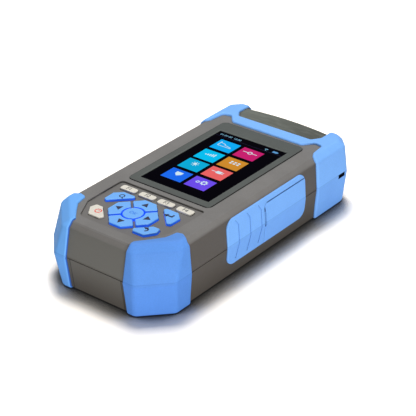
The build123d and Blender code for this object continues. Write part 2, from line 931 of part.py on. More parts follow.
with BuildPart() as front_casing:
    add(outer_form)
    add(cavity_form, mode=Mode.SUBTRACT)
    with BuildSketch(Plane.XY.offset(base_height)):
        with Locations((0, bay_wall_y - end_wall)):
            Rectangle(4 * half_width, BEYOND, align=(Align.CENTER, Align.MIN))
    extrude(amount=BEYOND)
    add(outer_form, mode=Mode.INTERSECT)
    add(bay_space.part, mode=Mode.SUBTRACT)
    split(bisect_by=Plane.XY.offset(parting_height + seam_width / 2), keep=Keep.TOP)
    with BuildSketch(Plane.XY.offset(parting_height + seam_width / 2)):
        with Locations(*post_places):
            Circle(post_radius)
    extrude(amount=plate_height - parting_height)
    with BuildSketch(Plane.XY.offset(main_board_top)):
        with Locations(*main_board_places):
            Circle(standoff_radius)
    extrude(amount=plate_height - main_board_top)
    with BuildSketch(Plane.XY.offset(mat_base)):
        with Locations(*keypad_board_places):
            Circle(keypad_post_radius)
    extrude(amount=plate_height - mat_base)
    add(port_walls.part)
    add(bumper_seats.part, mode=Mode.SUBTRACT)
    add(cover_seats.part, mode=Mode.SUBTRACT)
    add(port_pocket.part, mode=Mode.SUBTRACT)
    with BuildSketch(Plane.XY.offset(keypad_height)):
        filled(keypad_outline)
        fillet(vertices().group_by(Axis.Y)[0], keypad_near_round)
        fillet(vertices().group_by(Axis.Y)[-1], keypad_round)
    extrude(amount=BEYOND, mode=Mode.SUBTRACT)
    add(key_holes.part, mode=Mode.SUBTRACT)
    with BuildSketch(Plane.XY.offset(bezel_base)):
        with Locations((0, bezel_y)):
            RectangleRounded(
                bezel_width + 2 * bezel_gap,
                bezel_length + 2 * bezel_gap,
                bezel_round + bezel_gap,
            )
    extrude(amount=BEYOND, mode=Mode.SUBTRACT)
    with BuildSketch(Plane.XY.offset(module_base)):
        with Locations((0, display_y)):
            Rectangle(module_width + 2 * module_gap, module_length + 2 * module_gap)
    extrude(amount=BEYOND, mode=Mode.SUBTRACT)
    add(case_screw_holes.part, mode=Mode.SUBTRACT)
    add(board_screw_holes.part, mode=Mode.SUBTRACT)
    add(cover_pin_holes.part, mode=Mode.SUBTRACT)
    add(panel_screw_holes.part, mode=Mode.SUBTRACT)
    add(adapter_holes.part, mode=Mode.SUBTRACT)
    add(strap_slots.part, mode=Mode.SUBTRACT)
save(front_casing, "front_casing")
print("front casing solids", len(front_casing.part.solids()))


# Rear casing

with BuildPart() as rear_casing:
    add(outer_form)
    add(cavity_form, mode=Mode.SUBTRACT)
    with BuildSketch(Plane.XY.offset(base_height)):
        with Locations((0, bay_wall_y - end_wall)):
            Rectangle(4 * half_width, BEYOND, align=(Align.CENTER, Align.MIN))
    extrude(amount=BEYOND)
    with BuildSketch(Plane.XY.offset(base_height)):
        with Locations((0, stand_near_y - stand_gap - wall)):
            Rectangle(
                2 * (stand_half_width + stand_gap + stand_pin_grip + wall),
                stand_length + 2 * (stand_barrel_radius + stand_gap + wall),
                align=(Align.CENTER, Align.MIN),
            )
    extrude(amount=stand_depth + stand_floor)
    with BuildSketch(Plane.XY.offset(base_height)):
        with Locations(*post_places):
            Circle(post_radius)
        with Locations(*door_screw_places):
            Circle(door_post_radius)
    extrude(amount=parting_height - base_height)
    with BuildSketch(Plane.XY.offset(floor_height)):
        with Locations((0, (battery_near + battery_far) / 2)):
            Rectangle(
                2 * (battery_half_width + battery_gap + tray_wall),
                battery_far - battery_near + 2 * (battery_gap + tray_wall),
            )
            Rectangle(
                2 * (battery_half_width + battery_gap),
                battery_far - battery_near + 2 * battery_gap,
                mode=Mode.SUBTRACT,
            )
    extrude(amount=battery_thickness)
    add(outer_form, mode=Mode.INTERSECT)
    add(bay_space.part, mode=Mode.SUBTRACT)
    split(bisect_by=Plane.XY.offset(parting_height - seam_width / 2), keep=Keep.BOTTOM)
    add(bumper_seats.part, mode=Mode.SUBTRACT)
    add(cover_seats.part, mode=Mode.SUBTRACT)
    add(stand_space.part, mode=Mode.SUBTRACT)
    add(door_seat.part, mode=Mode.SUBTRACT)
    add(case_screw_holes.part, mode=Mode.SUBTRACT)
    add(door_screw_holes.part, mode=Mode.SUBTRACT)
    add(stand_pin_holes.part, mode=Mode.SUBTRACT)
    add(cover_pin_holes.part, mode=Mode.SUBTRACT)
    add(panel_screw_holes.part, mode=Mode.SUBTRACT)
    add(adapter_holes.part, mode=Mode.SUBTRACT)
    add(strap_slots.part, mode=Mode.SUBTRACT)
save(rear_casing, "rear_casing")
print("rear casing solids", len(rear_casing.part.solids()))


# Seal between the shells, open at the far end where the bay wall is

with BuildPart() as shell_seal:
    add(seal_outer_form)
    with BuildSketch(Plane.XY.offset(parting_height - seam_width / 2)):
        with Locations((0, bay_wall_y - end_wall)):
            Rectangle(4 * half_width, 4 * half_length, align=(Align.CENTER, Align.MAX))
    extrude(amount=seam_width, mode=Mode.INTERSECT)
    add(seal_inner_form, mode=Mode.SUBTRACT)
save(shell_seal, "shell_seal")


# Display bezel, lens and module

with BuildPart() as display_bezel:
    with BuildSketch(Plane.XY.offset(bezel_base)):
        with Locations((0, bezel_y)):
            RectangleRounded(bezel_width, bezel_length, bezel_round)
        with Locations((0, display_y)):
            Rectangle(window_width, window_length, mode=Mode.SUBTRACT)
    extrude(amount=bezel_depth)
    bezel_face = display_bezel.faces().sort_by(Axis.Z)[-1]
    chamfer(bezel_face.inner_wires()[0].edges(), window_edge_bevel)
    fillet(display_bezel.faces().sort_by(Axis.Z)[-1].outer_wire().edges(), bezel_proud / 2)
    with BuildSketch(Plane.XY.offset(bezel_base)):
        with Locations((0, display_y)):
            Rectangle(
                window_width + 2 * (lens_margin + seat_gap),
                window_length + 2 * (lens_margin + seat_gap),
            )
    extrude(amount=bezel_depth - lip_thickness, mode=Mode.SUBTRACT)
save(display_bezel, "display_bezel")

with BuildPart() as display_lens:
    with BuildSketch(Plane.XY.offset(lens_base)):
        with Locations((0, display_y)):
            Rectangle(window_width + 2 * lens_margin, window_length + 2 * lens_margin)
    extrude(amount=lens_thickness)
save(display_lens, "display_lens")

with BuildPart() as display_module:
    with BuildSketch(Plane.XY.offset(module_base)):
        with Locations((0, display_y)):
            Rectangle(module_width, module_length)
    extrude(amount=module_thickness)
    chamfer(display_module.edges().filter_by(Axis.Z), lens_margin)
save(display_module, "display_module")


# Keypad mat and boards

board_corner = [
    (mat_half_width, mat_far),
    (mat_half_width, mat_near + mat_cut),
    (mat_half_width - mat_cut, mat_near),
]

with BuildPart() as keypad_mat:
    with BuildSketch(Plane.XY.offset(mat_base)):
        filled(both_halves(board_corner))
    extrude(amount=plate_height - mat_base)
    with BuildSketch(Plane.XY.offset(mat_top)):
        filled(both_halves(board_corner))
        offset(amount=-mat_rim, kind=Kind.INTERSECTION)
    extrude(amount=plate_height - mat_top, mode=Mode.SUBTRACT)
save(keypad_mat, "keypad_mat")

with BuildPart() as keypad_board:
    with BuildSketch(Plane.XY.offset(keypad_board_base)):
        filled(
            both_halves(
                [
                    (keypad_board_half_width, mat_far),
                    (keypad_board_half_width, mat_near + mat_cut),
                    (keypad_board_half_width - mat_cut, mat_near),
                ]
            )
        )
        with Locations(*keypad_board_places):
            Circle(board_screw_radius + screw_gap, mode=Mode.SUBTRACT)
        with Locations(*post_places):
            Circle(post_radius + post_gap, mode=Mode.SUBTRACT)
    extrude(amount=board_thickness)
save(keypad_board, "keypad_board")

with BuildPart() as main_board:
    with BuildSketch(Plane.XY.offset(main_board_top - board_thickness)):
        with Locations((0, (main_board_near + main_board_far) / 2)):
            Rectangle(2 * main_board_half_width, main_board_far - main_board_near)
        with Locations(*main_board_places):
            Circle(board_screw_radius + screw_gap, mode=Mode.SUBTRACT)
    extrude(amount=board_thickness)
    with BuildSketch(Plane.XY.offset(main_board_top)):
        with GridLocations(chip_pitch, chip_pitch, 2, 3):
            Rectangle(chip_size, chip_size)
    extrude(amount=chip_height)
save(main_board, "main_board")

save(screws(board_screw, main_board_screw_seat, main_board_places), "main_board_screws")
save(screws(board_screw, keypad_board_screw_seat, keypad_board_places), "keypad_board_screws")
save(screws(case_screw, case_screw_seat, post_places), "case_screws")
save(screws(door_screw, door_screw_seat, door_screw_places), "battery_door_screws")
save(screws(panel_screw, panel_screw_seat, panel_screw_places), "panel_screws")


# Rubber bumpers and side covers

with BuildPart() as top_bumper:
    with BuildSketch(Plane.XY.offset(-1.0)):
        filled(top_bumper_outline, bumper_outline_round)
    extrude(amount=BEYOND)
    add(bumper_outer_form, mode=Mode.INTERSECT)
    fillet(rim_edges(top_bumper.part, bumper_outer_form), bumper_rim_round)
    add(bumper_inner_form, mode=Mode.SUBTRACT)
    add(strap_slots.part, mode=Mode.SUBTRACT)
    add(cover_pin_holes.part, mode=Mode.SUBTRACT)
save(top_bumper, "top_bumper")
print("top bumper solids", len(top_bumper.part.solids()))

with BuildPart() as bottom_right_bumper:
    with BuildSketch(Plane.XY.offset(-1.0)):
        filled(near_bumper_outline, bumper_outline_round)
    extrude(amount=BEYOND)
    add(bumper_outer_form, mode=Mode.INTERSECT)
    fillet(rim_edges(bottom_right_bumper.part, bumper_outer_form), bumper_rim_round)
    add(bumper_inner_form, mode=Mode.SUBTRACT)
save(bottom_right_bumper, "bottom_right_bumper")

with BuildPart() as bottom_left_bumper:
    add(bottom_right_bumper.part)
    mirror(about=Plane.YZ, mode=Mode.REPLACE)
save(bottom_left_bumper, "bottom_left_bumper")

with BuildPart() as groove_blocks:
    for index in range(groove_count):
        middle = groove_y + index * groove_pitch
        with BuildSketch(Plane.YZ.offset(-BEYOND)):
            with BuildLine() as groove_line:
                Polyline(
                    (middle - groove_swing, side_cover_high - groove_head),
                    (middle, side_cover_high - groove_bend_drop),
                    (middle, parting_height),
                    (middle - groove_swing, side_cover_low + groove_foot),
                )
            trace(line_width=groove_width)
        extrude(amount=2 * BEYOND)
    add(casing_form(cover_proud - groove_depth), mode=Mode.SUBTRACT)


with BuildPart() as right_side_cover:
    add(side_cover_prism(-seat_gap))
    add(side_outer_form, mode=Mode.INTERSECT)
    split(bisect_by=Plane.YZ, keep=Keep.TOP)
    add(flap_prism(flap_gap), mode=Mode.SUBTRACT)
    fillet(rim_edges(right_side_cover.part, side_outer_form), side_cover_rim_round)
    add(side_inner_form, mode=Mode.SUBTRACT)
    add(groove_blocks.part, mode=Mode.SUBTRACT)
save(right_side_cover, "right_side_cover")

with BuildPart() as left_side_cover:
    add(side_cover_prism(-seat_gap))
    add(side_outer_form, mode=Mode.INTERSECT)
    split(bisect_by=Plane.YZ, keep=Keep.BOTTOM)
    fillet(rim_edges(left_side_cover.part, side_outer_form), side_cover_rim_round)
    add(side_inner_form, mode=Mode.SUBTRACT)
    add(groove_blocks.part, mode=Mode.SUBTRACT)
save(left_side_cover, "left_side_cover")

with BuildPart() as port_flap:
    add(side_cover_prism(-seat_gap))
    add(side_outer_form, mode=Mode.INTERSECT)
    add(flap_prism(), mode=Mode.INTERSECT)
    fillet(rim_edges(port_flap.part, side_outer_form), flap_rim_round)
    add(casing_form(-cover_seat + flap_back_gap), mode=Mode.SUBTRACT)
    with BuildSketch(Plane.YZ):
        with Locations((flap_near_y, nick_z)):
            SlotOverall(nick_length, 2 * nick_width, rotation=90)
    extrude(amount=BEYOND, mode=Mode.SUBTRACT)
save(port_flap, "port_flap")
print("flap solids", len(port_flap.part.solids()), "covers", len(right_side_cover.part.solids()))


# Battery door and battery

with BuildPart() as battery_door:
    with BuildSketch(Plane.XY):
        with Locations((0, door_far_y)):
            Rectangle(2 * door_half_width, BEYOND + half_length, align=(Align.CENTER, Align.MAX))
    extrude(amount=parting_height - door_gap)
    add(outer_form, mode=Mode.INTERSECT)
    add(casing_form(-door_thickness + seat_gap), mode=Mode.SUBTRACT)
    add(door_screw_holes.part, mode=Mode.SUBTRACT)
    with BuildSketch(Plane.XY.offset(base_height)):
        with Locations((0, (battery_near + battery_far) / 2)):
            with GridLocations(0, door_rib_pitch, 1, 3):
                Rectangle(2 * (battery_half_width - battery_gap), door_rib_width)
    extrude(amount=floor_height - base_height)
save(battery_door, "battery_door")

with BuildPart() as battery_pack:
    with BuildSketch(Plane.XY.offset(floor_height + battery_gap)):
        with Locations((0, (battery_near + battery_far) / 2)):
            Rectangle(2 * battery_half_width, battery_far - battery_near)
    extrude(amount=battery_thickness)
    fillet(battery_pack.edges().filter_by(Axis.Y), battery_round)
save(battery_pack, "battery_pack")


# Folding stand in the underside

with BuildPart() as stand:
    with BuildSketch(Plane.XY.offset(base_height)):
        with Locations((0, stand_near_y)):
            Rectangle(2 * stand_half_width, stand_length, align=(Align.CENTER, Align.MIN))
        fillet(vertices().group_by(Axis.Y)[0], stand_round)
        with Locations((0, stand_near_y + stand_length / 2)):
            RectangleRounded(
                2 * (stand_half_width - stand_leg_width),
                stand_length - 2 * stand_bar,
                stand_round,
                mode=Mode.SUBTRACT,
            )
    extrude(amount=stand_thickness)
    with BuildSketch(Plane.YZ.offset(-stand_half_width)):
        with Locations((stand_hinge_y, stand_hinge_z)):
            Circle(stand_barrel_radius)
    extrude(amount=2 * stand_half_width)
    with BuildSketch(Plane.YZ.offset(-stand_half_width)):
        with Locations((stand_hinge_y, stand_hinge_z)):
            Circle(stand_pin_radius + pin_gap)
    extrude(amount=2 * stand_half_width, mode=Mode.SUBTRACT)
save(stand, "stand")

with BuildPart() as stand_pin:
    with BuildSketch(Plane.YZ.offset(-pin_span + pin_gap)):
        with Locations((stand_hinge_y, stand_hinge_z)):
            Circle(stand_pin_radius)
    extrude(amount=2 * (pin_span - pin_gap))
save(stand_pin, "stand_pin")


# Connector panel and adapters, facing +Y

panel_plane = bay_wall_plane.offset(panel_thickness)

with BuildPart() as connector_panel:
    with BuildSketch(bay_wall_plane):
        with Locations((0, (panel_low + panel_high) / 2)):
            RectangleRounded(2 * panel_half_width, panel_high - panel_low, panel_round)
        with Locations(*adapter_places):
            Circle(adapter_barrel_radius + screw_gap, mode=Mode.SUBTRACT)
        with Locations(*panel_screw_places):
            Circle(board_screw_radius + screw_gap, mode=Mode.SUBTRACT)
    extrude(amount=panel_thickness)
save(connector_panel, "connector_panel")


def adapter_body(middle):
    """The tail through the panel and the square flange of one adapter."""
    with BuildPart() as body:
        with BuildSketch(panel_plane.offset(-panel_thickness - adapter_tail)):
            with Locations((-middle, adapter_z)):
                Circle(adapter_barrel_radius)
        extrude(amount=adapter_tail + panel_thickness)
        with BuildSketch(panel_plane):
            with Locations((-middle, adapter_z)):
                RectangleRounded(adapter_flange, adapter_flange, panel_round / 2)
        extrude(amount=adapter_flange_thickness)
    return body.part


def fibre_adapter(middle):
    """A threaded fibre adapter: neck, barrel with a key slot, and an inner sleeve."""
    with BuildPart() as adapter:
        add(adapter_body(middle))
        with BuildSketch(panel_plane):
            with Locations((-middle, adapter_z)):
                Circle(adapter_neck_radius)
        extrude(amount=adapter_reach)
        with BuildSketch(panel_plane.offset(adapter_flange_thickness + adapter_neck_length)):
            with Locations((-middle, adapter_z)):
                Circle(adapter_barrel_radius)
        extrude(amount=adapter_reach - adapter_flange_thickness - adapter_neck_length)
        with BuildSketch(panel_plane.offset(adapter_reach - ferrule_depth)):
            with Locations((-middle, adapter_z)):
                Circle(adapter_mouth_radius)
                Circle(sleeve_radius, mode=Mode.SUBTRACT)
        extrude(amount=ferrule_depth, mode=Mode.SUBTRACT)
        with BuildSketch(panel_plane.offset(adapter_reach - ferrule_depth)):
            with Locations((-middle, adapter_z)):
                Circle(ferrule_bore_radius)
        extrude(amount=ferrule_depth, mode=Mode.SUBTRACT)
        with BuildSketch(panel_plane.offset(adapter_reach - key_slot_depth)):
            with Locations((-middle, adapter_z + adapter_barrel_radius)):
                Rectangle(key_slot_width, 2 * (adapter_barrel_radius - adapter_mouth_radius) + 0.4)
        extrude(amount=key_slot_depth, mode=Mode.SUBTRACT)
    return adapter


save(fibre_adapter(adapter_x), "reflectometer_adapter")
save(fibre_adapter(0), "fault_locator_adapter")

with BuildPart() as power_meter_adapter:
    add(adapter_body(-adapter_x))
    with BuildSketch(panel_plane):
        with Locations((adapter_x, adapter_z)):
            Circle(meter_port_radius)
    extrude(amount=adapter_reach - adapter_neck_length)
    with BuildSketch(panel_plane.offset(adapter_reach - adapter_neck_length - meter_port_depth)):
        with Locations((adapter_x, adapter_z)):
            Circle(meter_port_bore_radius)
    extrude(amount=meter_port_depth, mode=Mode.SUBTRACT)
save(power_meter_adapter, "power_meter_adapter")


# Dust cover over the bay, hinged at its lower edge

cover_front_arc = (
    (cover_half_width, cover_side_y),
    (0, cover_centre_y),
    (-cover_half_width, cover_side_y),
)
cover_right_edge = [
    (cover_near_half_width, bay_step_y + cover_gap),
    (cover_near_half_width, bay_corner_y - bay_corner_run),
    (cover_half_width, bay_corner_y),
    (cover_half_width, cover_side_y),
]


def draw_cover_plan():
    """The outline of the dust cover from above, with its bowed far edge."""
    with BuildLine() as outline:
        Polyline(*([(-x, y) for x, y in reversed(cover_right_edge)] + cover_right_edge))
        ThreePointArc(*cover_front_arc)
    make_face(outline.edges())


def draw_cover_inside():
    """The outline of the space behind the far wall of the dust cover."""
    inner_arc = [(x, y - cover_thickness) for x, y in cover_front_arc]
    with BuildLine() as outline:
        Polyline(
            inner_arc[2],
            (-cover_half_width, bay_wall_y),
            (cover_half_width, bay_wall_y),
            inner_arc[0],
        )
        ThreePointArc(*inner_arc)
    make_face(outline.edges())


with BuildPart() as dust_cover_roll:
    with BuildSketch(Plane.YZ.offset(-cover_half_width)):
        with Locations((cover_pivot_y, cover_pivot_z)):
            Circle(cover_roll_radius - seat_gap)
        with Locations((cover_pivot_y - cover_barrel_radius, cover_pivot_z + cover_barrel_radius)):
            Rectangle(BEYOND, BEYOND, align=(Align.MIN, Align.MAX), mode=Mode.INTERSECT)
    extrude(amount=2 * cover_half_width)
    with BuildSketch(Plane.XY):
        draw_cover_plan()
    extrude(amount=BEYOND, mode=Mode.INTERSECT)

with BuildPart() as dust_cover:
    with BuildSketch(Plane.XY.offset(cover_pivot_z)):
        draw_cover_plan()
    extrude(amount=cover_top - cover_pivot_z)
    chamfer(dust_cover.faces().sort_by(Axis.Z)[-1].edges().sort_by(Axis.Y)[-1], cover_shoulder)
    with BuildSketch(Plane.XY.offset(cover_pivot_z)):
        draw_cover_inside()
    extrude(amount=cover_top - cover_thickness - cover_pivot_z, mode=Mode.SUBTRACT)
    add(dust_cover_roll.part)
    add(cover_pin_holes.part, mode=Mode.SUBTRACT)
save(dust_cover, "dust_cover")
print("dust cover solids", len(dust_cover.part.solids()))

with BuildPart() as dust_cover_pins:
    for side in (-1, 1):
        start = min(side * cover_pin_half_inner, side * cover_pin_half_outer)
        with BuildSketch(Plane.YZ.offset(start)):
            with Locations((cover_pivot_y, cover_pivot_z)):
                Circle(cover_pin_radius)
        extrude(amount=cover_pin_half_outer - cover_pin_half_inner)
save(dust_cover_pins, "dust_cover_pins")


# Sockets behind the port flap and the board that carries them

with BuildPart() as usb_socket:
    with BuildSketch(Plane.YZ.offset(port_floor_x - usb_length)):
        with Locations((usb_y, usb_z)):
            Rectangle(usb_width, usb_height)
    extrude(amount=usb_length)
    with BuildSketch(Plane.YZ.offset(port_floor_x)):
        with Locations((usb_y, usb_z)):
            Rectangle(usb_width - 2 * usb_skin, usb_height - 2 * usb_skin)
        with Locations((usb_y, usb_z + usb_tongue / 2)):
            Rectangle(usb_tongue_width, usb_tongue, mode=Mode.SUBTRACT)
    extrude(amount=-jack_bore_depth, mode=Mode.SUBTRACT)
save(usb_socket, "usb_socket")

with BuildPart() as power_jack:
    with BuildSketch(Plane.YZ.offset(port_floor_x - jack_length)):
        with Locations((jack_y, jack_z)):
            Rectangle(jack_width, jack_width)
    extrude(amount=jack_length)
    with BuildSketch(Plane.YZ.offset(port_floor_x)):
        with Locations((jack_y, jack_z)):
            Circle(jack_bore_radius)
            Circle(jack_pin_radius, mode=Mode.SUBTRACT)
    extrude(amount=-jack_bore_depth, mode=Mode.SUBTRACT)
save(power_jack, "power_jack")


# Optical module on the floor of the rear casing

with BuildPart() as optical_module:
    with BuildSketch(Plane.XY.offset(optics_base)):
        with Locations((0, (optics_near + optics_far) / 2)):
            Rectangle(2 * optics_half_width, optics_far - optics_near)
    extrude(amount=optics_height - optics_lid)
    with BuildSketch(Plane.XY.offset(optics_base + optics_height - optics_lid)):
        with Locations((0, (optics_near + optics_far) / 2)):
            RectangleRounded(
                2 * (optics_half_width - optics_lid_inset),
                optics_far - optics_near - 2 * optics_lid_inset,
                2 * optics_lid_inset,
            )
    extrude(amount=optics_lid)
    with BuildSketch(Plane(origin=(0, optics_far, 0), x_dir=(-1, 0, 0), z_dir=(0, 1, 0))):
        with Locations((0, optics_base + optics_height / 2)):
            with GridLocations(adapter_x, 0, 3, 1):
                Circle(optics_port_radius)
    extrude(amount=optics_port_length)
save(optical_module, "optical_module")
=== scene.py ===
# %% [markdown]
# A handheld optical time domain reflectometer lies on its back in a white studio.
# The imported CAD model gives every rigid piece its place, and this script gives it its looks.
# All sizes are in metres in the part's own frame: +X to the right of the display,
# +Y towards the connectors, +Z out of the display, and the floor at z = 0.

# %% Frame
import bpy
import bmesh
import math
from mathutils import Matrix, Vector


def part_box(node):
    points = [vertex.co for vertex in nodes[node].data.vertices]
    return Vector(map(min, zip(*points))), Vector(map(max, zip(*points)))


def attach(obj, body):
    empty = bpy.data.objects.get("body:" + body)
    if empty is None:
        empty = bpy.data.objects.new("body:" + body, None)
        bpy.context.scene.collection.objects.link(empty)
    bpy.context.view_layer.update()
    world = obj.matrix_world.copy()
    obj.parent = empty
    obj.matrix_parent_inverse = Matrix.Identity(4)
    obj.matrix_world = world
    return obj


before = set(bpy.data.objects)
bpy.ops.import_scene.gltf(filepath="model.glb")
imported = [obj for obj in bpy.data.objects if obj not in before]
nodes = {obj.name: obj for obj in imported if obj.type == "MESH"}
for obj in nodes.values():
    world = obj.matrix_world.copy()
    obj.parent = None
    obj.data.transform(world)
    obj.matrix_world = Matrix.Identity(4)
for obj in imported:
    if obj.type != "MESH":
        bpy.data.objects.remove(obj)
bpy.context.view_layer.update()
MM = 0.001

# %% [markdown]
# The camera stands where the photographer's stood. Its direction is given by an azimuth
# round the part, an elevation above the floor and a small roll, which is easier to
# correct against a photograph than three Euler angles.

# %% Camera
AZIMUTH, ELEVATION, ROLL = (math.radians(a) for a in (40.6279, 29.5740, -2.1344))
CAMERA_PLACE = Vector((0.5000, -0.5753, 0.4516))
SENSOR_WIDTH, FOCAL_LENGTH = 36, 127.86
back = Vector((
    math.sin(AZIMUTH) * math.cos(ELEVATION),
    -math.cos(AZIMUTH) * math.cos(ELEVATION),
    math.sin(ELEVATION),
))
level_right = Vector((0, 0, 1)).cross(back).normalized()
level_up = back.cross(level_right)
right = level_right * math.cos(ROLL) + level_up * math.sin(ROLL)
up = level_up * math.cos(ROLL) - level_right * math.sin(ROLL)
camera_data = bpy.data.cameras.new("camera")
camera_data.sensor_width = SENSOR_WIDTH
camera_data.lens = FOCAL_LENGTH
camera = bpy.data.objects.new("camera", camera_data)
bpy.context.scene.collection.objects.link(camera)
turn = Matrix((right, up, back)).transposed().to_4x4()
camera.matrix_world = Matrix.Translation(CAMERA_PLACE) @ turn
bpy.context.scene.camera = camera
bpy.context.scene.view_settings.view_transform = "Standard"
print("camera at", [round(v, 3) for v in camera.location])

# %% [markdown]
# A material is written as arithmetic on sockets. Adding or multiplying two of them puts
# the matching node into the material, and any other node is added by its type. This keeps
# a pattern readable as a formula, where a long list of nodes and links would hide it.

# %% Material arithmetic
def linear(red, green, blue):
    """A colour written as 0 to 255 values, as the renderer's linear light."""
    channels = [value / 255 for value in (red, green, blue)]
    return [c / 12.92 if c <= 0.04045 else ((c + 0.055) / 1.055) ** 2.4 for c in channels] + [1.0]


def grey(level):
    """A grey of this much linear light."""
    return [level, level, level, 1.0]


def shaded(colour, factor):
    """A linear colour made lighter or darker by a factor."""
    return [min(1.0, c * factor) for c in colour[:3]] + [1.0]


def connect(tree, value, socket):
    """Feeds a socket from another one, or sets it to a plain value."""
    if isinstance(value, Socket):
        tree.links.new(value.output, socket)
    else:
        socket.default_value = value


class Socket:
    """An output of a material's node tree that can be calculated with."""

    def __init__(self, tree, output):
        self.tree = tree
        self.output = output

    def node(self, kind, settings, inputs, output=0):
        """Adds a node of any kind and returns one of its outputs."""
        node = self.tree.nodes.new(kind)
        for name, value in settings.items():
            setattr(node, name, value)
        for name, value in inputs.items():
            connect(self.tree, value, node.inputs[name])
        return Socket(self.tree, node.outputs[output])

    def math(self, operation, *values):
        return self.node("ShaderNodeMath", {"operation": operation}, dict(enumerate(values)))

    def __add__(self, other):
        return self.math("ADD", self, other)

    def __radd__(self, other):
        return self.math("ADD", other, self)

    def __sub__(self, other):
        return self.math("SUBTRACT", self, other)

    def __rsub__(self, other):
        return self.math("SUBTRACT", other, self)

    def __mul__(self, other):
        return self.math("MULTIPLY", self, other)

    def __rmul__(self, other):
        return self.math("MULTIPLY", other, self)

    def __abs__(self):
        return self.math("ABSOLUTE", self)

    def larger(self, other):
        return self.math("MAXIMUM", self, other)

    def root(self):
        return self.math("SQRT", self)

    def sine(self):
        return self.math("SINE", self)

    def axis(self, index):
        """One coordinate of this position: 0 for X, 1 for Y, 2 for Z."""
        return self.node("ShaderNodeSeparateXYZ", {}, {0: self}, output=index)

    def stretched(self, x, y, z):
        """This position with each coordinate multiplied, to stretch a pattern."""
        return self.node("ShaderNodeVectorMath", {"operation": "MULTIPLY"}, {0: self, 1: (x, y, z)})

    def between(self, low, high):
        """This value, 0 to 1 over the span from low to high, with soft ends."""
        return self.node(
            "ShaderNodeMapRange",
            {"interpolation_type": "SMOOTHSTEP"},
            {"Value": self, "From Min": low, "From Max": high},
        )

    def below(self, low, high):
        """1 up to low and 0 from high on, with a soft step between them."""
        return 1 - self.between(low, high)

    def mix(self, first, second):
        """The colour first where this value is 0 and second where it is 1."""
        return self.node(
            "ShaderNodeMix", {"data_type": "RGBA"}, {0: self, 6: first, 7: second}, output=2
        )

    def noise(self, scale, detail=2.0):
        """Noise at this position, with features about 1 / scale metres wide."""
        return self.node("ShaderNodeTexNoise", {}, {"Vector": self, "Scale": scale, "Detail": detail})

    def open_sky(self, distance):
        """1 on an open surface, less in a crevice narrower than distance."""
        return self.node("ShaderNodeAmbientOcclusion", {"samples": 8}, {"Distance": distance}, output=1)

    def bump(self, distance):
        """The normal of a surface that rises by this value times distance."""
        return self.node("ShaderNodeBump", {}, {"Height": self, "Distance": distance, "Strength": 1.0})


def material(name, paint):
    """A material whose shader inputs come from paint, called with the object coordinates."""
    made = bpy.data.materials.new(name)
    made.use_nodes = True
    tree = made.node_tree
    shader = tree.nodes["Principled BSDF"]
    position = Socket(tree, tree.nodes.new("ShaderNodeTexCoord").outputs["Object"])
    for socket_name, value in paint(position).items():
        connect(tree, value, shader.inputs[socket_name])
    return made


print("material tools ready")

# %% [markdown]
# Moulded plastic and rubber share one recipe: two noises for the shade, a fine one for the
# spark-eroded grain of the mould, and painted shade that darkens the crevices.
# A mark is an extra pattern on top, given as a function of the position and the colour.

# %% Moulded plastic and rubber
CREVICE = 1.4 * MM
GRAIN = 2500.0
GRAIN_DEPTH = 0.012 * MM
SPECKLE_SHARE, SPECKLE_SHADE = 0.08, 0.45
CREVICE_SHADE = 0.12


def moulded(shade, roughness=0.62, mottle=0.06, crevice_shade_share=0.5, mark=None):
    """Moulded plastic or rubber with a fine grain, slight shade changes and painted shade in crevices.
    """

    def paint(position):
        blotches = position.noise(60.0).between(0.3, 0.7)
        speckle = position.noise(GRAIN / 2, 1.0).between(0.35, 0.65)
        smooth = blotches.mix(shaded(shade, 1 - mottle), shaded(shade, 1 + mottle))
        grained = (speckle * SPECKLE_SHARE).mix(smooth, shaded(shade, SPECKLE_SHADE))
        colour = mark(position, grained) if mark else grained
        # Painted shade: darker where crevices hide the open sky.
        crevice = position.open_sky(CREVICE).below(0.15, 0.75)
        return {
            "Base Color": (crevice * crevice_shade_share).mix(colour, shaded(shade, CREVICE_SHADE)),
            "Roughness": roughness - 0.05 + 0.1 * position.noise(300.0),
            "Specular IOR Level": 0.18,
            "Normal": position.noise(GRAIN).bump(GRAIN_DEPTH),
        }

    return paint


print("crevices narrower than", round(CREVICE / MM, 1), "mm are darkened")

# %% [markdown]
# The blue rubber has a fine mould line at one height, with painted shade in a slightly deeper
# blue below it. Lines of painted shade follow the inner walls of the near bumpers and the near
# and upper edge of the port flap, and the strap slots get painted shade. The left near corner
# has painted light, because it faces away from the lamps. All are masks on the object's own
# coordinates, so they stay in place from every side.

# %% Blue rubber
# One rubber in a shaded and a lit copy: painted shade on the near bumpers, painted light on the far
# pieces.
NEAR_SHADED_BLUE = linear(91, 146, 226)
FAR_LIT_BLUE = linear(126, 182, 255)
LEFT_CORNER_LIT_BLUE = linear(116, 184, 255)
LOWER_SHADE_BLUE = linear(66, 112, 200)
LINE_BLUE = linear(45, 85, 165)
WALL_SHADE_BLUE = linear(24, 74, 178)
CUT_SHADE_BLUE = linear(16, 44, 112)
SLOT_SHADE_BLUE = linear(6, 10, 24)
CREASE_Z = 22.8 * MM
SLOT_Y, SLOT_Z = 79.8 * MM, 21.3 * MM
SLOT_HALF_LENGTH, SLOT_HALF_HEIGHT = 3.45 * MM, 1.5 * MM
SLOT_MOUTH = 46.0 * MM
NEAR_CORNER_Y = -60.0 * MM
LEFT_CORNER_X = -21.0 * MM
FLAP_SIDE_X = 38.0 * MM
NICK_Z = 20.5 * MM
bumper_inner_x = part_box("bottom_right_bumper")[0][0]
flap_low, flap_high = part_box("port_flap")


def slot_mask(position):
    """1 on the walls inside the two strap slots."""
    outside = (abs(position.axis(1) - SLOT_Y) - SLOT_HALF_LENGTH).larger(
        abs(position.axis(2) - SLOT_Z) - SLOT_HALF_HEIGHT
    )
    beyond = outside.larger(abs(position.axis(0)) - SLOT_MOUTH)
    return beyond.below(0.0, 0.1 * MM)


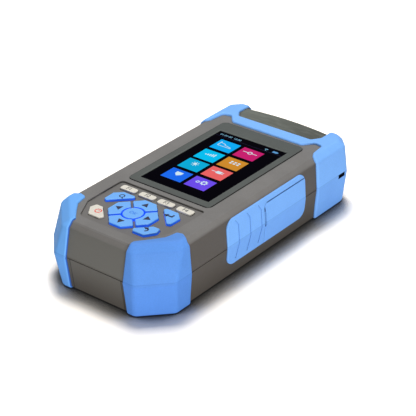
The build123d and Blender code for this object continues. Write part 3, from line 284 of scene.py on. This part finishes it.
def rubber_marks(position, colour):
    across, along, height = (position.axis(index) for index in (0, 1, 2))
    near_end = along.below(NEAR_CORNER_Y, NEAR_CORNER_Y + 1.0 * MM)
    # Painted light on the left near corner.
    left_corner_light = across.below(LEFT_CORNER_X, LEFT_CORNER_X + 1.0 * MM) * near_end
    toned = (left_corner_light * 0.75).mix(colour, LEFT_CORNER_LIT_BLUE)
    # Painted shade in a deeper blue below the crease, where the wall leans in.
    lower_shade = height.below(CREASE_Z - 0.2 * MM, CREASE_Z + 0.2 * MM)
    toned = (lower_shade * 0.2).mix(toned, LOWER_SHADE_BLUE)
    line = abs(height - CREASE_Z).below(0.05 * MM, 0.35 * MM)
    toned = (line * 0.2).mix(toned, LINE_BLUE)
    # Painted shade on the inner walls of the near bumpers.
    inner_wall_shade = (abs(across) - bumper_inner_x).below(0.1 * MM, 0.25 * MM) * near_end
    toned = (inner_wall_shade * 0.8).mix(toned, WALL_SHADE_BLUE)
    # Painted shade along the near and upper edges of the port flap.
    nick_shade = abs(along - flap_low[1]).below(0.3 * MM, 0.6 * MM)
    nick_shade = nick_shade * height.between(NICK_Z - 0.5 * MM, NICK_Z)
    nick_shade = nick_shade * height.below(flap_high[2] - 4.0 * MM, flap_high[2] - 1.0 * MM)
    groove_shade = abs(height - flap_high[2]).below(0.2 * MM, 0.5 * MM)
    groove_shade = groove_shade * along.between(flap_low[1] + 1.0 * MM, flap_low[1] + 3.0 * MM)
    groove_shade = groove_shade * along.below(flap_high[1] - 1.0 * MM, flap_high[1])
    beside = across.between(FLAP_SIDE_X, FLAP_SIDE_X + 0.5 * MM)
    toned = (beside * (nick_shade * 0.9).larger(groove_shade * 0.5)).mix(toned, CUT_SHADE_BLUE)
    # Painted shade inside the strap slots.
    return slot_mask(position).mix(toned, SLOT_SHADE_BLUE)


def blue_rubber(name, shade):
    return material(name, moulded(shade, roughness=0.68, mottle=0.025, mark=rubber_marks))


print("mould line at", round(CREASE_Z / MM, 1), "mm")

# %% [markdown]
# The casing is a warm grey plastic. The recessed zone under the keys is darker than the top.
# The walls and the lower half carry painted shade, two thin lines mark the battery door in the
# near end, and the slots get painted shade where they run on into the shells.

# %% Casing grey
CASING = linear(117, 115, 113)
CASING_SIDE_SHADE = linear(84, 80, 77)
CASING_END_SHADE = linear(106, 105, 101)
CASING_RECESS = linear(96, 91, 86)
CASING_LOWER_SHADE = linear(76, 71, 66)
DOOR_LINE = linear(24, 22, 20)
SLOT_SHADE = linear(8, 8, 12)
SHOULDER_Z = 40.2 * MM
DOOR_HALF_WIDTH = 19.3 * MM
NEAR_FACE_Y = -80.0 * MM
WALL_TURN_Y = (-88.0 * MM, -78.0 * MM)
KEYPAD_FLOOR = 41.1 * MM
KEYPAD_FAR_Y = -31.0 * MM
KEYPAD_HALF_WIDTH = 31.8 * MM


def casing_marks(position, colour):
    across, along, height = (position.axis(index) for index in (0, 1, 2))
    recess = abs(height - KEYPAD_FLOOR + 1.0 * MM).below(1.0 * MM, 1.2 * MM)
    recess = recess * along.below(KEYPAD_FAR_Y, KEYPAD_FAR_Y + 0.1 * MM)
    recess = recess * abs(across).below(KEYPAD_HALF_WIDTH, KEYPAD_HALF_WIDTH + 0.2 * MM)
    toned = (recess * 0.3).mix(colour, CASING_RECESS)
    # Painted shade on the walls below the shoulder, a little less on the near end than on the sides.
    wall_shade = along.between(*WALL_TURN_Y).mix(CASING_END_SHADE, CASING_SIDE_SHADE)
    toned = height.below(SHOULDER_Z - 2.0 * MM, SHOULDER_Z).mix(toned, wall_shade)
    # Painted shade, darker towards the bottom and in a band just below the crease.
    lower_shade_share = height.below(3.0 * MM, CREASE_Z) * 0.4
    lower_shade_share = lower_shade_share + height.below(CREASE_Z - 0.5 * MM, CREASE_Z) * 0.4
    toned = lower_shade_share.mix(toned, CASING_LOWER_SHADE)
    line = abs(abs(across) - DOOR_HALF_WIDTH).below(0.15 * MM, 0.4 * MM)
    line = line * along.below(NEAR_FACE_Y - 0.1 * MM, NEAR_FACE_Y)
    line = line * height.below(CREASE_Z - 1.5 * MM, CREASE_Z - 1.3 * MM)
    toned = (line * 0.7).mix(toned, DOOR_LINE)
    # Painted shade inside the strap slots.
    return slot_mask(position).mix(toned, SLOT_SHADE)


casing_grey = material("casing grey", moulded(CASING, mottle=0.05, crevice_shade_share=0.15, mark=casing_marks))
print("keypad recess floor at", round(KEYPAD_FLOOR / MM, 1), "mm")

# %% [markdown]
# The display bezel is a dark green grey. A black line of painted shadow runs round its outer
# edge, and the edge at the window has a thin painted highlight. Both lines follow the distance from a
# rectangle.

# %% Bezel
BEZEL = linear(68, 73, 70)
BEZEL_SHADOW_LINE = linear(14, 15, 15)
BEZEL_RIM_HIGHLIGHT = linear(132, 138, 134)
bezel_low, bezel_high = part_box("display_bezel")
lens_low, lens_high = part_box("display_lens")
LENS_MARGIN = 1.4 * MM


def beyond_rectangle(position, low, high, margin=0.0):
    """How far a position lies outside a rectangle in X and Y, negative inside it."""
    distances = []
    for index in (0, 1):
        middle = (low[index] + high[index]) / 2
        half = (high[index] - low[index]) / 2 + margin
        distances.append(abs(position.axis(index) - middle) - half)
    return distances[0].larger(distances[1])


def bezel_marks(position, colour):
    # Painted shadow along the outer edge, and a painted highlight along the window's edge.
    outer = beyond_rectangle(position, bezel_low, bezel_high).between(-0.55 * MM, -0.3 * MM)
    window = beyond_rectangle(position, lens_low, lens_high, -LENS_MARGIN)
    rim_highlight = abs(window - 0.3 * MM).below(0.15 * MM, 0.35 * MM)
    outlined = (outer * 0.9).mix(colour, BEZEL_SHADOW_LINE)
    return (rim_highlight * 0.35).mix(outlined, BEZEL_RIM_HIGHLIGHT)


bezel_grey = material("bezel grey", moulded(BEZEL, roughness=0.5, mark=bezel_marks))
print("bezel", [round((h - l) / MM, 1) for l, h in zip(bezel_low, bezel_high)], "mm")

# %% [markdown]
# The dust cover is a soft olive grey that gets darker to the right, with faint streaks
# across it. Noise that is squeezed along one axis makes streaks without any image.

# %% Dust cover
cover_low, cover_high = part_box("dust_cover")
COVER = linear(92, 96, 89)
COVER_RIGHT = linear(58, 60, 54)
COVER_STREAK = linear(122, 126, 118)


def cover_marks(position, colour):
    across = position.axis(0).between(cover_low[0], cover_high[0])
    streaks = position.stretched(0.25, 1.0, 1.0).noise(420.0, 3.0).between(0.4, 0.75)
    toned = (across * 0.8).mix(colour, COVER_RIGHT)
    return (streaks * 0.3).mix(toned, COVER_STREAK)


cover_olive = material("dust cover olive", moulded(COVER, roughness=0.55, mark=cover_marks))
print("dust cover from", round(cover_low[0] / MM, 1), "to", round(cover_high[0] / MM, 1), "mm")

# %% [markdown]
# The blue keys have a pale speckled top over a deep blue side. The colour changes with the
# height on the key, and moves down with the key when it is pressed. The sides also give a
# little light of their own, because they would be too dark in the recess otherwise.

# %% Key plastic
BLUE_KEY_TOP = linear(102, 172, 242)
BLUE_KEY_SPECKLE = linear(84, 158, 246)
BLUE_KEY_SIDE = linear(38, 104, 250)
SIDE_GLOW = 0.45
CREAM = linear(228, 223, 211)
CREAM_SPECKLE = linear(196, 190, 176)
blue_top_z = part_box("key_ok")[1][2]
SIDE_SPAN = (0.62 * MM, 0.22 * MM)


def blue_key(position):
    speckle = position.noise(1700.0, 3.0).between(0.42, 0.62)
    top = (speckle * 0.5).mix(BLUE_KEY_TOP, BLUE_KEY_SPECKLE)
    height = position.axis(2).between(blue_top_z - SIDE_SPAN[0], blue_top_z - SIDE_SPAN[1])
    return {
        "Base Color": height.mix(BLUE_KEY_SIDE, top),
        "Emission Color": height.mix(BLUE_KEY_SIDE, grey(0.0)),
        "Emission Strength": SIDE_GLOW,
        "Roughness": 0.38 + 0.1 * position.noise(500.0),
        "Specular IOR Level": 0.35,
        "Normal": position.noise(1700.0, 3.0).bump(0.02 * MM),
    }


def cream_marks(position, colour):
    speckle = position.noise(1500.0, 3.0).between(0.45, 0.65)
    return (speckle * 0.3).mix(colour, CREAM_SPECKLE)


key_blue = material("key blue", blue_key)
key_cream = material("key cream", moulded(CREAM, mottle=0.015, mark=cream_marks))
print("blue key tops at", round(blue_top_z / MM, 2), "mm")

# %% [markdown]
# Metal is a scuffed plating. The fibre adapters hold a white ceramic sleeve on their axis,
# which is a mask on the distance from that axis.

# %% Metal and ceramic
ADAPTER_X, ADAPTER_Z = 18.5 * MM, 25.0 * MM
SLEEVE_RADIUS = 2.05 * MM


def metal(shade, roughness=0.3):
    """Plated metal with faint scuffs."""

    def paint(position):
        scuffs = position.noise(900.0, 4.0)
        return {
            "Base Color": scuffs.mix(shade, shaded(shade, 1.2)),
            "Metallic": 1.0,
            "Roughness": roughness + 0.12 * scuffs,
        }

    return paint


def adapter_metal(middle):
    """Nickel plating with a ceramic sleeve round the axis at x = middle."""

    def paint(position):
        across = position.axis(0) - middle
        above = position.axis(2) - ADAPTER_Z
        radius = (across * across + above * above).root()
        plated = radius.between(SLEEVE_RADIUS, SLEEVE_RADIUS + 0.1 * MM)
        scuffs = position.noise(900.0, 4.0)
        nickel = scuffs.mix(linear(176, 176, 172), linear(206, 206, 200))
        return {
            "Base Color": plated.mix(linear(236, 236, 230), nickel),
            "Metallic": plated,
            "Roughness": 0.28 + 0.12 * scuffs,
        }

    return paint


def glossy(shade):
    """Smooth dark glass or plastic."""

    def paint(position):
        return {
            "Base Color": position.noise(40.0).mix(shade, shaded(shade, 1.3)),
            "Roughness": 0.12 + 0.04 * position.noise(500.0),
            "Specular IOR Level": 0.0,
        }

    return paint


print("sleeves at x =", round(ADAPTER_X / MM, 1), "mm and 0")

# %% [markdown]
# Every CAD node gets the finish of the piece that it stands for.

# %% Finishes of the CAD nodes
finishes = {
    "casing grey": casing_grey,
    "near bumper shaded blue": blue_rubber("near bumper shaded blue", NEAR_SHADED_BLUE),
    "far bumper lit blue": blue_rubber("far bumper lit blue", FAR_LIT_BLUE),
    "bezel grey": bezel_grey,
    "panel grey": material("panel grey", moulded(linear(52, 54, 56), roughness=0.5)),
    "stand grey": material("stand grey", moulded(linear(70, 70, 70), roughness=0.55)),
    "dust cover olive": cover_olive,
    "screen glass": material("screen glass", glossy(linear(7, 6, 11))),
    "key cream": key_cream,
    "key blue": key_blue,
    "silicone": material("silicone", moulded(linear(170, 170, 165))),
    "black plastic": material("black plastic", moulded(linear(24, 24, 26), roughness=0.5)),
    "circuit board": material("circuit board", moulded(linear(28, 84, 50), roughness=0.4)),
    "screw steel": material("screw steel", metal(linear(150, 150, 152))),
    "nickel": material("nickel", adapter_metal(ADAPTER_X)),
    "nickel middle": material("nickel middle", adapter_metal(0.0)),
    "module alloy": material("module alloy", metal(linear(190, 192, 195), roughness=0.45)),
}
blue_keys = ["key_up", "key_down", "key_left", "key_right", "key_ok"]
blue_keys += ["key_enter", "key_search", "key_back"]
finish_of = {
    "casing grey": ["front_casing", "rear_casing", "battery_door"],
    "near bumper shaded blue": ["bottom_left_bumper", "bottom_right_bumper"],
    "far bumper lit blue": ["top_bumper", "left_side_cover", "right_side_cover", "port_flap"],
    "bezel grey": ["display_bezel"],
    "panel grey": ["connector_panel"],
    "stand grey": ["stand"],
    "dust cover olive": ["dust_cover"],
    "screen glass": ["display_lens", "display_module"],
    "key cream": ["key_f1", "key_f2", "key_f3", "key_f4", "key_power"],
    "key blue": blue_keys,
    "silicone": ["keypad_mat"],
    "black plastic": ["shell_seal", "power_jack", "power_meter_adapter", "battery_pack"],
    "circuit board": ["keypad_board", "main_board"],
    "screw steel": [
        "main_board_screws", "keypad_board_screws", "case_screws", "battery_door_screws", "panel_screws",
        "dust_cover_pins", "stand_pin", "usb_socket",
    ],
    "nickel": ["reflectometer_adapter"],
    "nickel middle": ["fault_locator_adapter"],
    "module alloy": ["optical_module"],
}
for finish, names in finish_of.items():
    for name in names:
        mesh = nodes[name].data
        mesh.materials.clear()
        mesh.materials.append(finishes[finish])
print("nodes without a finish:", sorted(set(nodes) - {n for names in finish_of.values() for n in names}))

# %% [markdown]
# The picture on the screen and the signs on the keys are thin raised shapes, as printed
# ink is. Each starts as a flat outline in bmesh, which is pushed up into a closed solid.
# Bands and bars build the signs, so that no sign needs a long list of points.

# %% Thin shapes
INK = 0.05 * MM


def bar(x0, y0, x1, y1, width):
    """The outline of a straight stroke, in millimetres."""
    length = math.hypot(x1 - x0, y1 - y0)
    dx, dy = (x1 - x0) / length * width / 2, (y1 - y0) / length * width / 2
    return [(x0 - dy, y0 + dx), (x0 + dy, y0 - dx), (x1 + dy, y1 - dx), (x1 - dy, y1 + dx)]


def band(x, y, radius, width, start=0.0, sweep=360.0):
    """The outlines of a curved stroke round a point, in millimetres and degrees."""
    steps = max(4, round(sweep / 20))
    outlines = []
    for step in range(steps):
        angles = [math.radians(start + sweep * (step + end) / steps) for end in (0, 1)]
        inner, outer = radius - width / 2, radius + width / 2
        ring = [(outer, angles[0]), (outer, angles[1]), (inner, angles[1]), (inner, angles[0])]
        outlines.append([(x + r * math.cos(a), y + r * math.sin(a)) for r, a in ring])
    return outlines


def disc(x, y, radius, corners=24, turn=0.0):
    """The outline of a regular shape round a point: a disc, or a triangle with 3 corners."""
    angles = [math.radians(turn + 360 * index / corners) for index in range(corners)]
    return [(x + radius * math.cos(a), y + radius * math.sin(a)) for a in angles]


def piece_from(sketch, name, finish, body):
    """Makes an object of a bmesh, gives it its finish and lets it ride on its body."""
    bmesh.ops.recalc_face_normals(sketch, faces=sketch.faces[:])
    mesh = bpy.data.meshes.new(name)
    sketch.to_mesh(mesh)
    sketch.free()
    mesh.materials.append(finish)
    made = bpy.data.objects.new(name, mesh)
    bpy.context.scene.collection.objects.link(made)
    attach(made, body)
    return made


def raised(name, outlines, place, finish, body):
    """A closed thin solid over outlines in millimetres, which stands on the point place."""
    sketch = bmesh.new()
    for outline in outlines:
        sketch.faces.new([sketch.verts.new((x * MM, y * MM, 0)) for x, y in outline])
    bmesh.ops.remove_doubles(sketch, verts=sketch.verts[:], dist=0.001 * MM)
    pushed = bmesh.ops.extrude_face_region(sketch, geom=sketch.faces[:])["geom"]
    lifted = [part for part in pushed if isinstance(part, bmesh.types.BMVert)]
    bmesh.ops.translate(sketch, vec=(0, 0, INK), verts=lifted)
    bmesh.ops.translate(sketch, vec=place, verts=sketch.verts[:])
    return piece_from(sketch, name, finish, body)


def lettering(name, text, size, place, finish, body):
    """Raised characters of the built-in font, centred on the point place."""
    curve = bpy.data.curves.new(name, "FONT")
    curve.body = text
    curve.size = size
    curve.align_x = "CENTER"
    curve.align_y = "CENTER"
    curve.extrude = INK / 2
    curve.resolution_u = 3
    flat = bpy.data.objects.new(name + "_text", curve)
    mesh = bpy.data.meshes.new_from_object(flat)
    bpy.data.objects.remove(flat)
    sketch = bmesh.new()
    sketch.from_mesh(mesh)
    bpy.data.meshes.remove(mesh)
    bmesh.ops.remove_doubles(sketch, verts=sketch.verts[:], dist=0.002 * MM)
    bmesh.ops.translate(sketch, vec=Vector(place) + Vector((0, 0, INK / 2)), verts=sketch.verts[:])
    return piece_from(sketch, name, finish, body)


print("ink is", round(INK / MM, 2), "mm thick")

# %% [markdown]
# The screen shows a menu of eight tiles in two columns under a status bar. A screen gives
# its own light, so the tiles glow in their colour instead of waiting for the lamps, with
# faint rows of pixels. The picture signs are generic ones drawn for this part.

# %% Screen tiles
TILE_WIDTH, TILE_HEIGHT = 15.1, 12.2
TILE_COLUMNS = (-10.3, 7.6)
TILE_ROWS = (37.6, 22.4, 7.75, -7.45)
GLASS_TOP = lens_high[2]
PIXEL_ROWS = 9000.0


def glowing(colour):
    """A lit patch of the screen with faint rows of pixels."""

    def paint(position):
        rows = (position.axis(1) * PIXEL_ROWS).sine()
        shade = position.noise(160.0, 3.0) * 0.5 + rows * 0.12
        return {
            "Base Color": linear(10, 10, 12),
            "Roughness": 0.2,
            "Specular IOR Level": 0.0,
            "Emission Color": shade.mix(colour, shaded(colour, 0.72)),
            "Emission Strength": 1.0,
        }

    return paint


tile_colours = {
    (0, 0): linear(8, 174, 250),
    (0, 1): linear(0, 195, 246),
    (0, 2): linear(4, 175, 222),
    (0, 3): linear(26, 108, 244),
    (1, 0): linear(205, 32, 114),
    (1, 1): linear(212, 142, 44),
    (1, 2): linear(240, 102, 102),
    (1, 3): linear(112, 78, 242),
}
for (column, row), colour in tile_colours.items():
    half_x, half_y = TILE_WIDTH / 2, TILE_HEIGHT / 2
    corners = [(-half_x, -half_y), (half_x, -half_y), (half_x, half_y), (-half_x, half_y)]
    place = (TILE_COLUMNS[column] * MM, TILE_ROWS[row] * MM, GLASS_TOP)
    name = f"screen_tile_{column + 1}_{row + 1}"
    raised(name, [corners], place, material(name, glowing(colour)), "housing")
print("tiles:", len(tile_colours))

# %% [markdown]
# Each tile carries a small white sign in its upper half: a falling trace, a bar gauge, a
# sun, a shield, a line with a joint, a grid, a plug and two gears.

# %% Screen signs
def gear(x, y, radius, teeth):
    """A toothed ring round a point."""
    outlines = band(x, y, radius * 0.7, radius * 0.36)
    for tooth in range(teeth):
        angle = 2 * math.pi * tooth / teeth
        near, far = radius * 0.8, radius * 1.15
        cos, sin = math.cos(angle), math.sin(angle)
        start, end = (x + near * cos, y + near * sin), (x + far * cos, y + far * sin)
        outlines.append(bar(*start, *end, radius * 0.4))
    return outlines


def sun(x, y):
    """A disc with eight rays."""
    rays = []
    for ray in range(8):
        cos, sin = math.cos(math.pi * ray / 4), math.sin(math.pi * ray / 4)
        rays.append(bar(x + 1.7 * cos, y + 1.7 * sin, x + 2.5 * cos, y + 2.5 * sin, 0.4))
    return [disc(x, y, 1.25)] + rays


trace = [bar(-5.2, 3.9, -5.2, -1.0, 0.45), bar(-5.2, -1.0, 4.8, -1.0, 0.4)]
trace += [bar(-5.0, 2.8, -1.2, 1.8, 0.4), bar(-1.2, 1.8, -1.1, 1.0, 0.4)]
trace += [bar(-1.1, 1.0, 4.4, -0.3, 0.4)]
gauge = []
for step in range(5):
    x = -3.0 + 1.5 * step
    gauge.append(bar(x, 0.0, x, 1.1 + 0.55 * step, 0.9))
shield = [[(-2.4, 3.6), (2.4, 3.6), (2.3, 1.2), (0.0, -0.9), (-2.3, 1.2)]]
joint = [bar(-5.2, 1.6, -1.5, 1.6, 0.45), bar(1.5, 1.6, 5.2, 1.6, 0.45)] + band(0, 1.6, 1.3, 0.6)
grid = []
for column in range(3):
    for row in range(2):
        y = 0.3 + 1.9 * row
        grid.append(bar(-2.6 + 2.6 * column, y, -1.0 + 2.6 * column, y, 1.2))
plug = [bar(-5.0, 1.4, -1.4, 1.4, 0.45), bar(-1.4, 1.4, 2.2, 1.4, 2.8)]
plug += [bar(2.2, 0.7, 3.8, 0.7, 0.5), bar(2.2, 2.1, 3.8, 2.1, 0.5)]
gears = gear(1.6, 1.5, 2.1, 8) + gear(-2.6, 0.8, 1.2, 6)
signs = {
    (0, 0): trace, (0, 1): gauge, (0, 2): sun(0, 1.6), (0, 3): shield,
    (1, 0): joint, (1, 1): grid, (1, 2): plug, (1, 3): gears,
}
screen_white = material("screen white", glowing(linear(214, 238, 248)))
for (column, row), outlines in signs.items():
    place = (TILE_COLUMNS[column] * MM, TILE_ROWS[row] * MM, GLASS_TOP + INK)
    name = f"screen_sign_{column + 1}_{row + 1}"
    raised(name, outlines, place, screen_white, "housing")
print("signs:", len(signs))

# %% [markdown]
# The status bar holds plain digits at the left, and a signal fan and a battery at the
# right. Digits come from Blender's built-in font, made a mesh before they are placed.

# %% Status bar
STATUS_Y = 48.9
screen_pale = material("screen pale", glowing(linear(132, 188, 216)))
screen_blue = material("screen blue", glowing(linear(96, 158, 214)))
status_place = (-15.0 * MM, STATUS_Y * MM, GLASS_TOP)
lettering(
    "status_digits", "01-01-00  12:00", 2.5 * MM, status_place, screen_pale, "housing"
)
fan = band(12.5, STATUS_Y - 0.9, 1.5, 0.5, 45, 90) + [disc(12.5, STATUS_Y - 0.7, 0.45, 12)]
raised("status_fan", fan, (0, 0, GLASS_TOP), screen_pale, "housing")
battery = [bar(17.4, STATUS_Y, 20.8, STATUS_Y, 1.8), bar(20.8, STATUS_Y, 21.4, STATUS_Y, 0.8)]
raised("status_battery", battery, (0, 0, GLASS_TOP), screen_blue, "housing")
rule = [bar(-25.2, STATUS_Y - 2.0, 25.2, STATUS_Y - 2.0, 0.12)]
screen_rule = material("screen rule", glowing(linear(44, 44, 78)))
raised("status_rule", rule, (0, 0, GLASS_TOP), screen_rule, "housing")
print("status bar at y =", STATUS_Y, "mm")

# %% [markdown]
# The signs on the keys are printed on their tops. Arrows are triangles that point the way
# of the key, the other signs are strokes, and each rides on its own key.

# %% Key signs
PAD_Y = -57.1
ARROW_MIDDLE, ARROW_RADIUS = 10.6, 2.6
ink_blue = material("navy ink", moulded(linear(10, 16, 56), roughness=0.5))
ink_mid = material("middle blue ink", moulded(linear(44, 118, 226), roughness=0.5))
ink_grey = material("grey ink", moulded(linear(66, 66, 68), roughness=0.5))
ink_red = material("red ink", moulded(linear(232, 70, 62), roughness=0.5))


def key_sign(key, outlines, x, y, ink):
    """A sign on the top of a key, at a place in millimetres from the middle of the frame."""
    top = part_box(key)[1][2]
    return raised(key + "_sign", outlines, (x * MM, y * MM, top), ink, key)


for key, angle in (("key_right", 0), ("key_up", 90), ("key_left", 180), ("key_down", 270)):
    x = ARROW_MIDDLE * math.cos(math.radians(angle))
    y = PAD_Y + ARROW_MIDDLE * math.sin(math.radians(angle))
    key_sign(key, [disc(0, 0, ARROW_RADIUS, 3, angle)], x, y, ink_blue)
magnifier = band(0, 0.5, 1.5, 0.65) + [bar(0.9, -0.5, 2.0, -1.7, 0.7)]
key_sign("key_search", magnifier, -18.2, PAD_Y + 10.4, ink_blue)
enter = [bar(-1.6, -0.4, 2.2, -0.4, 1.1), bar(2.2, -0.95, 2.2, 1.9, 1.1)]
enter += [disc(-1.7, -0.4, 1.9, 3, 180)]
key_sign("key_enter", enter, 18.4, PAD_Y + 9.8, ink_blue)
hook = band(0, 0, 1.4, 1.0, -80, 170) + [disc(-0.7, 1.4, 1.6, 3, 180)]
key_sign("key_back", hook, 18.0, PAD_Y - 9.6, ink_blue)
power = band(0, 0, 1.9, 0.6, 115, 310) + [bar(0, 0.4, 0, 2.4, 0.6)]
key_sign("key_power", power, -18.0, PAD_Y - 9.3, ink_red)
for index in range(4):
    key = f"key_f{index + 1}"
    low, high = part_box(key)
    place = ((low[0] + high[0]) / 2, (low[1] + high[1]) / 2, high[2])
    lettering(key + "_sign", f"F{index + 1}", 3.9 * MM, place, ink_grey, key)
ok_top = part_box("key_ok")[1][2]
lettering("key_ok_sign", "OK", 3.6 * MM, (0, PAD_Y * MM, ok_top), ink_mid, "key_ok")
print("key signs ready")

# %% [markdown]
# Small metal detail shows when the part is opened or turned over: the thread on the fibre
# adapters, which is a stack of rings spun round the adapter's axis, and the cross recess
# in the heads of the screws below, drawn as a thin black cross of painted shade. The photograph
# shows neither, so both are guesses.

# %% Threads and screw recesses
THREAD_RINGS, THREAD_PITCH, THREAD_START = 4, 0.75 * MM, 3.5 * MM
BARREL_RADIUS, THREAD_RADIUS = 3.95 * MM, 0.25 * MM


def thread(name, middle, end_y, finish):
    """Rings behind the key slot of the adapter whose mouth is at end_y."""
    sketch = bmesh.new()
    for ring in range(THREAD_RINGS):
        y = end_y - THREAD_START - ring * THREAD_PITCH
        start = Matrix.Translation((middle + BARREL_RADIUS, y, ADAPTER_Z))
        circle = bmesh.ops.create_circle(sketch, segments=8, radius=THREAD_RADIUS, matrix=start)
        profile = circle["verts"]
        edges = list({edge for vert in profile for edge in vert.link_edges})
        bmesh.ops.spin(
            sketch, geom=profile + edges, cent=(middle, y, ADAPTER_Z), axis=(0, 1, 0),
            angle=2 * math.pi, steps=32, use_merge=True,
        )
    return piece_from(sketch, name, finish, "housing")


mouth_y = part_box("reflectometer_adapter")[1][1]
thread("reflectometer_thread", ADAPTER_X, mouth_y, finishes["nickel"])
mouth_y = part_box("fault_locator_adapter")[1][1]
thread("fault_locator_thread", 0.0, mouth_y, finishes["nickel middle"])


def screw_recess_shades(node, head_radius, reach, width):
    """A black cross of painted shade for the recess in each head of a group of screws whose heads face
    down.
    """
    low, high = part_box(node)
    cross = []
    for x in {low[0] + head_radius, high[0] - head_radius}:
        for y in {low[1] + head_radius, high[1] - head_radius}:
            across, along = x / MM, y / MM
            cross.append(bar(across - reach, along, across + reach, along, width))
            cross.append(bar(across, along - reach, across, along + reach, width))
    place = (0, 0, low[2] - INK)
    raised(node + "_recess", cross, place, finishes["black plastic"], "housing")


screw_recess_shades("case_screws", 2.8 * MM, 1.7, 0.7)
screw_recess_shades("battery_door_screws", 1.7 * MM, 1.0, 0.45)
print("thread rings:", THREAD_RINGS)

# %% [markdown]
# The studio is a white floor under soft lights. The world looks pure white to the camera
# and to polished surfaces, and gives a gentler light to the part. A large key light stands
# above and behind, and a low fill lights the near sides. The floor gets darker where little
# of the sky reaches it, which deepens the contact shadow.

# %% Studio
FLOOR_SIZE = 4.0
CONTACT = 22 * MM
SEEN_FLOOR = [1.5, 1.42, 1.32, 1.0]
SKY_LIGHT = 0.18
KEY_PLACE, KEY_SIZE, KEY_POWER = (-0.27, 0.33, 1.12), (0.4, 0.4), 12.0
FILL_PLACE, FILL_SIZE, FILL_POWER = (1.12, -0.92, 0.13), (0.9, 0.22), 17.5
FILL_COLOUR = (1.0, 0.99, 0.97)
floor_mesh = bpy.data.meshes.new("floor")
sketch = bmesh.new()
bmesh.ops.create_grid(sketch, x_segments=1, y_segments=1, size=FLOOR_SIZE)
sketch.to_mesh(floor_mesh)
sketch.free()
floor = bpy.data.objects.new("floor", floor_mesh)
bpy.context.scene.collection.objects.link(floor)


def camera_ray(tree):
    """1 where the camera or a reflection looks straight at something, and 0 for other light."""
    rays = tree.nodes.new("ShaderNodeLightPath").outputs
    camera, glossy_ray, transmission = (
        Socket(tree, rays[f"Is {kind} Ray"]) for kind in ("Camera", "Glossy", "Transmission")
    )
    return camera.larger(glossy_ray).larger(transmission)


def floor_paint(position):
    grain = position.noise(30.0)
    plain = grain.mix(grey(0.58), grey(0.6))
    clear = position.open_sky(CONTACT).between(0.4, 0.86)
    seen = clear.mix(grey(0.03), SEEN_FLOOR)
    return {"Base Color": camera_ray(position.tree).mix(plain, seen), "Roughness": 0.95}


floor_mesh.materials.append(material("studio floor", floor_paint))

world = bpy.data.worlds.new("studio")
bpy.context.scene.world = world
world.use_nodes = True
tree = world.node_tree
background = tree.nodes["Background"]
connect(tree, camera_ray(tree).mix(grey(SKY_LIGHT), grey(1.0)), background.inputs["Color"])


def softbox(name, place, target, size, power, colour=(1, 1, 1)):
    """A rectangular light at place that faces target."""
    data = bpy.data.lights.new(name, "AREA")
    data.shape = "RECTANGLE"
    data.size, data.size_y = size
    data.energy = power
    data.color = colour
    lamp = bpy.data.objects.new(name, data)
    bpy.context.scene.collection.objects.link(lamp)
    lamp.location = place
    lamp.rotation_euler = (Vector(target) - Vector(place)).to_track_quat("-Z", "Y").to_euler()


softbox("key", KEY_PLACE, (0, 0, 0.02), KEY_SIZE, KEY_POWER)
softbox("fill", FILL_PLACE, (0, 0, 0.03), FILL_SIZE, FILL_POWER, FILL_COLOUR)
print("studio lit")
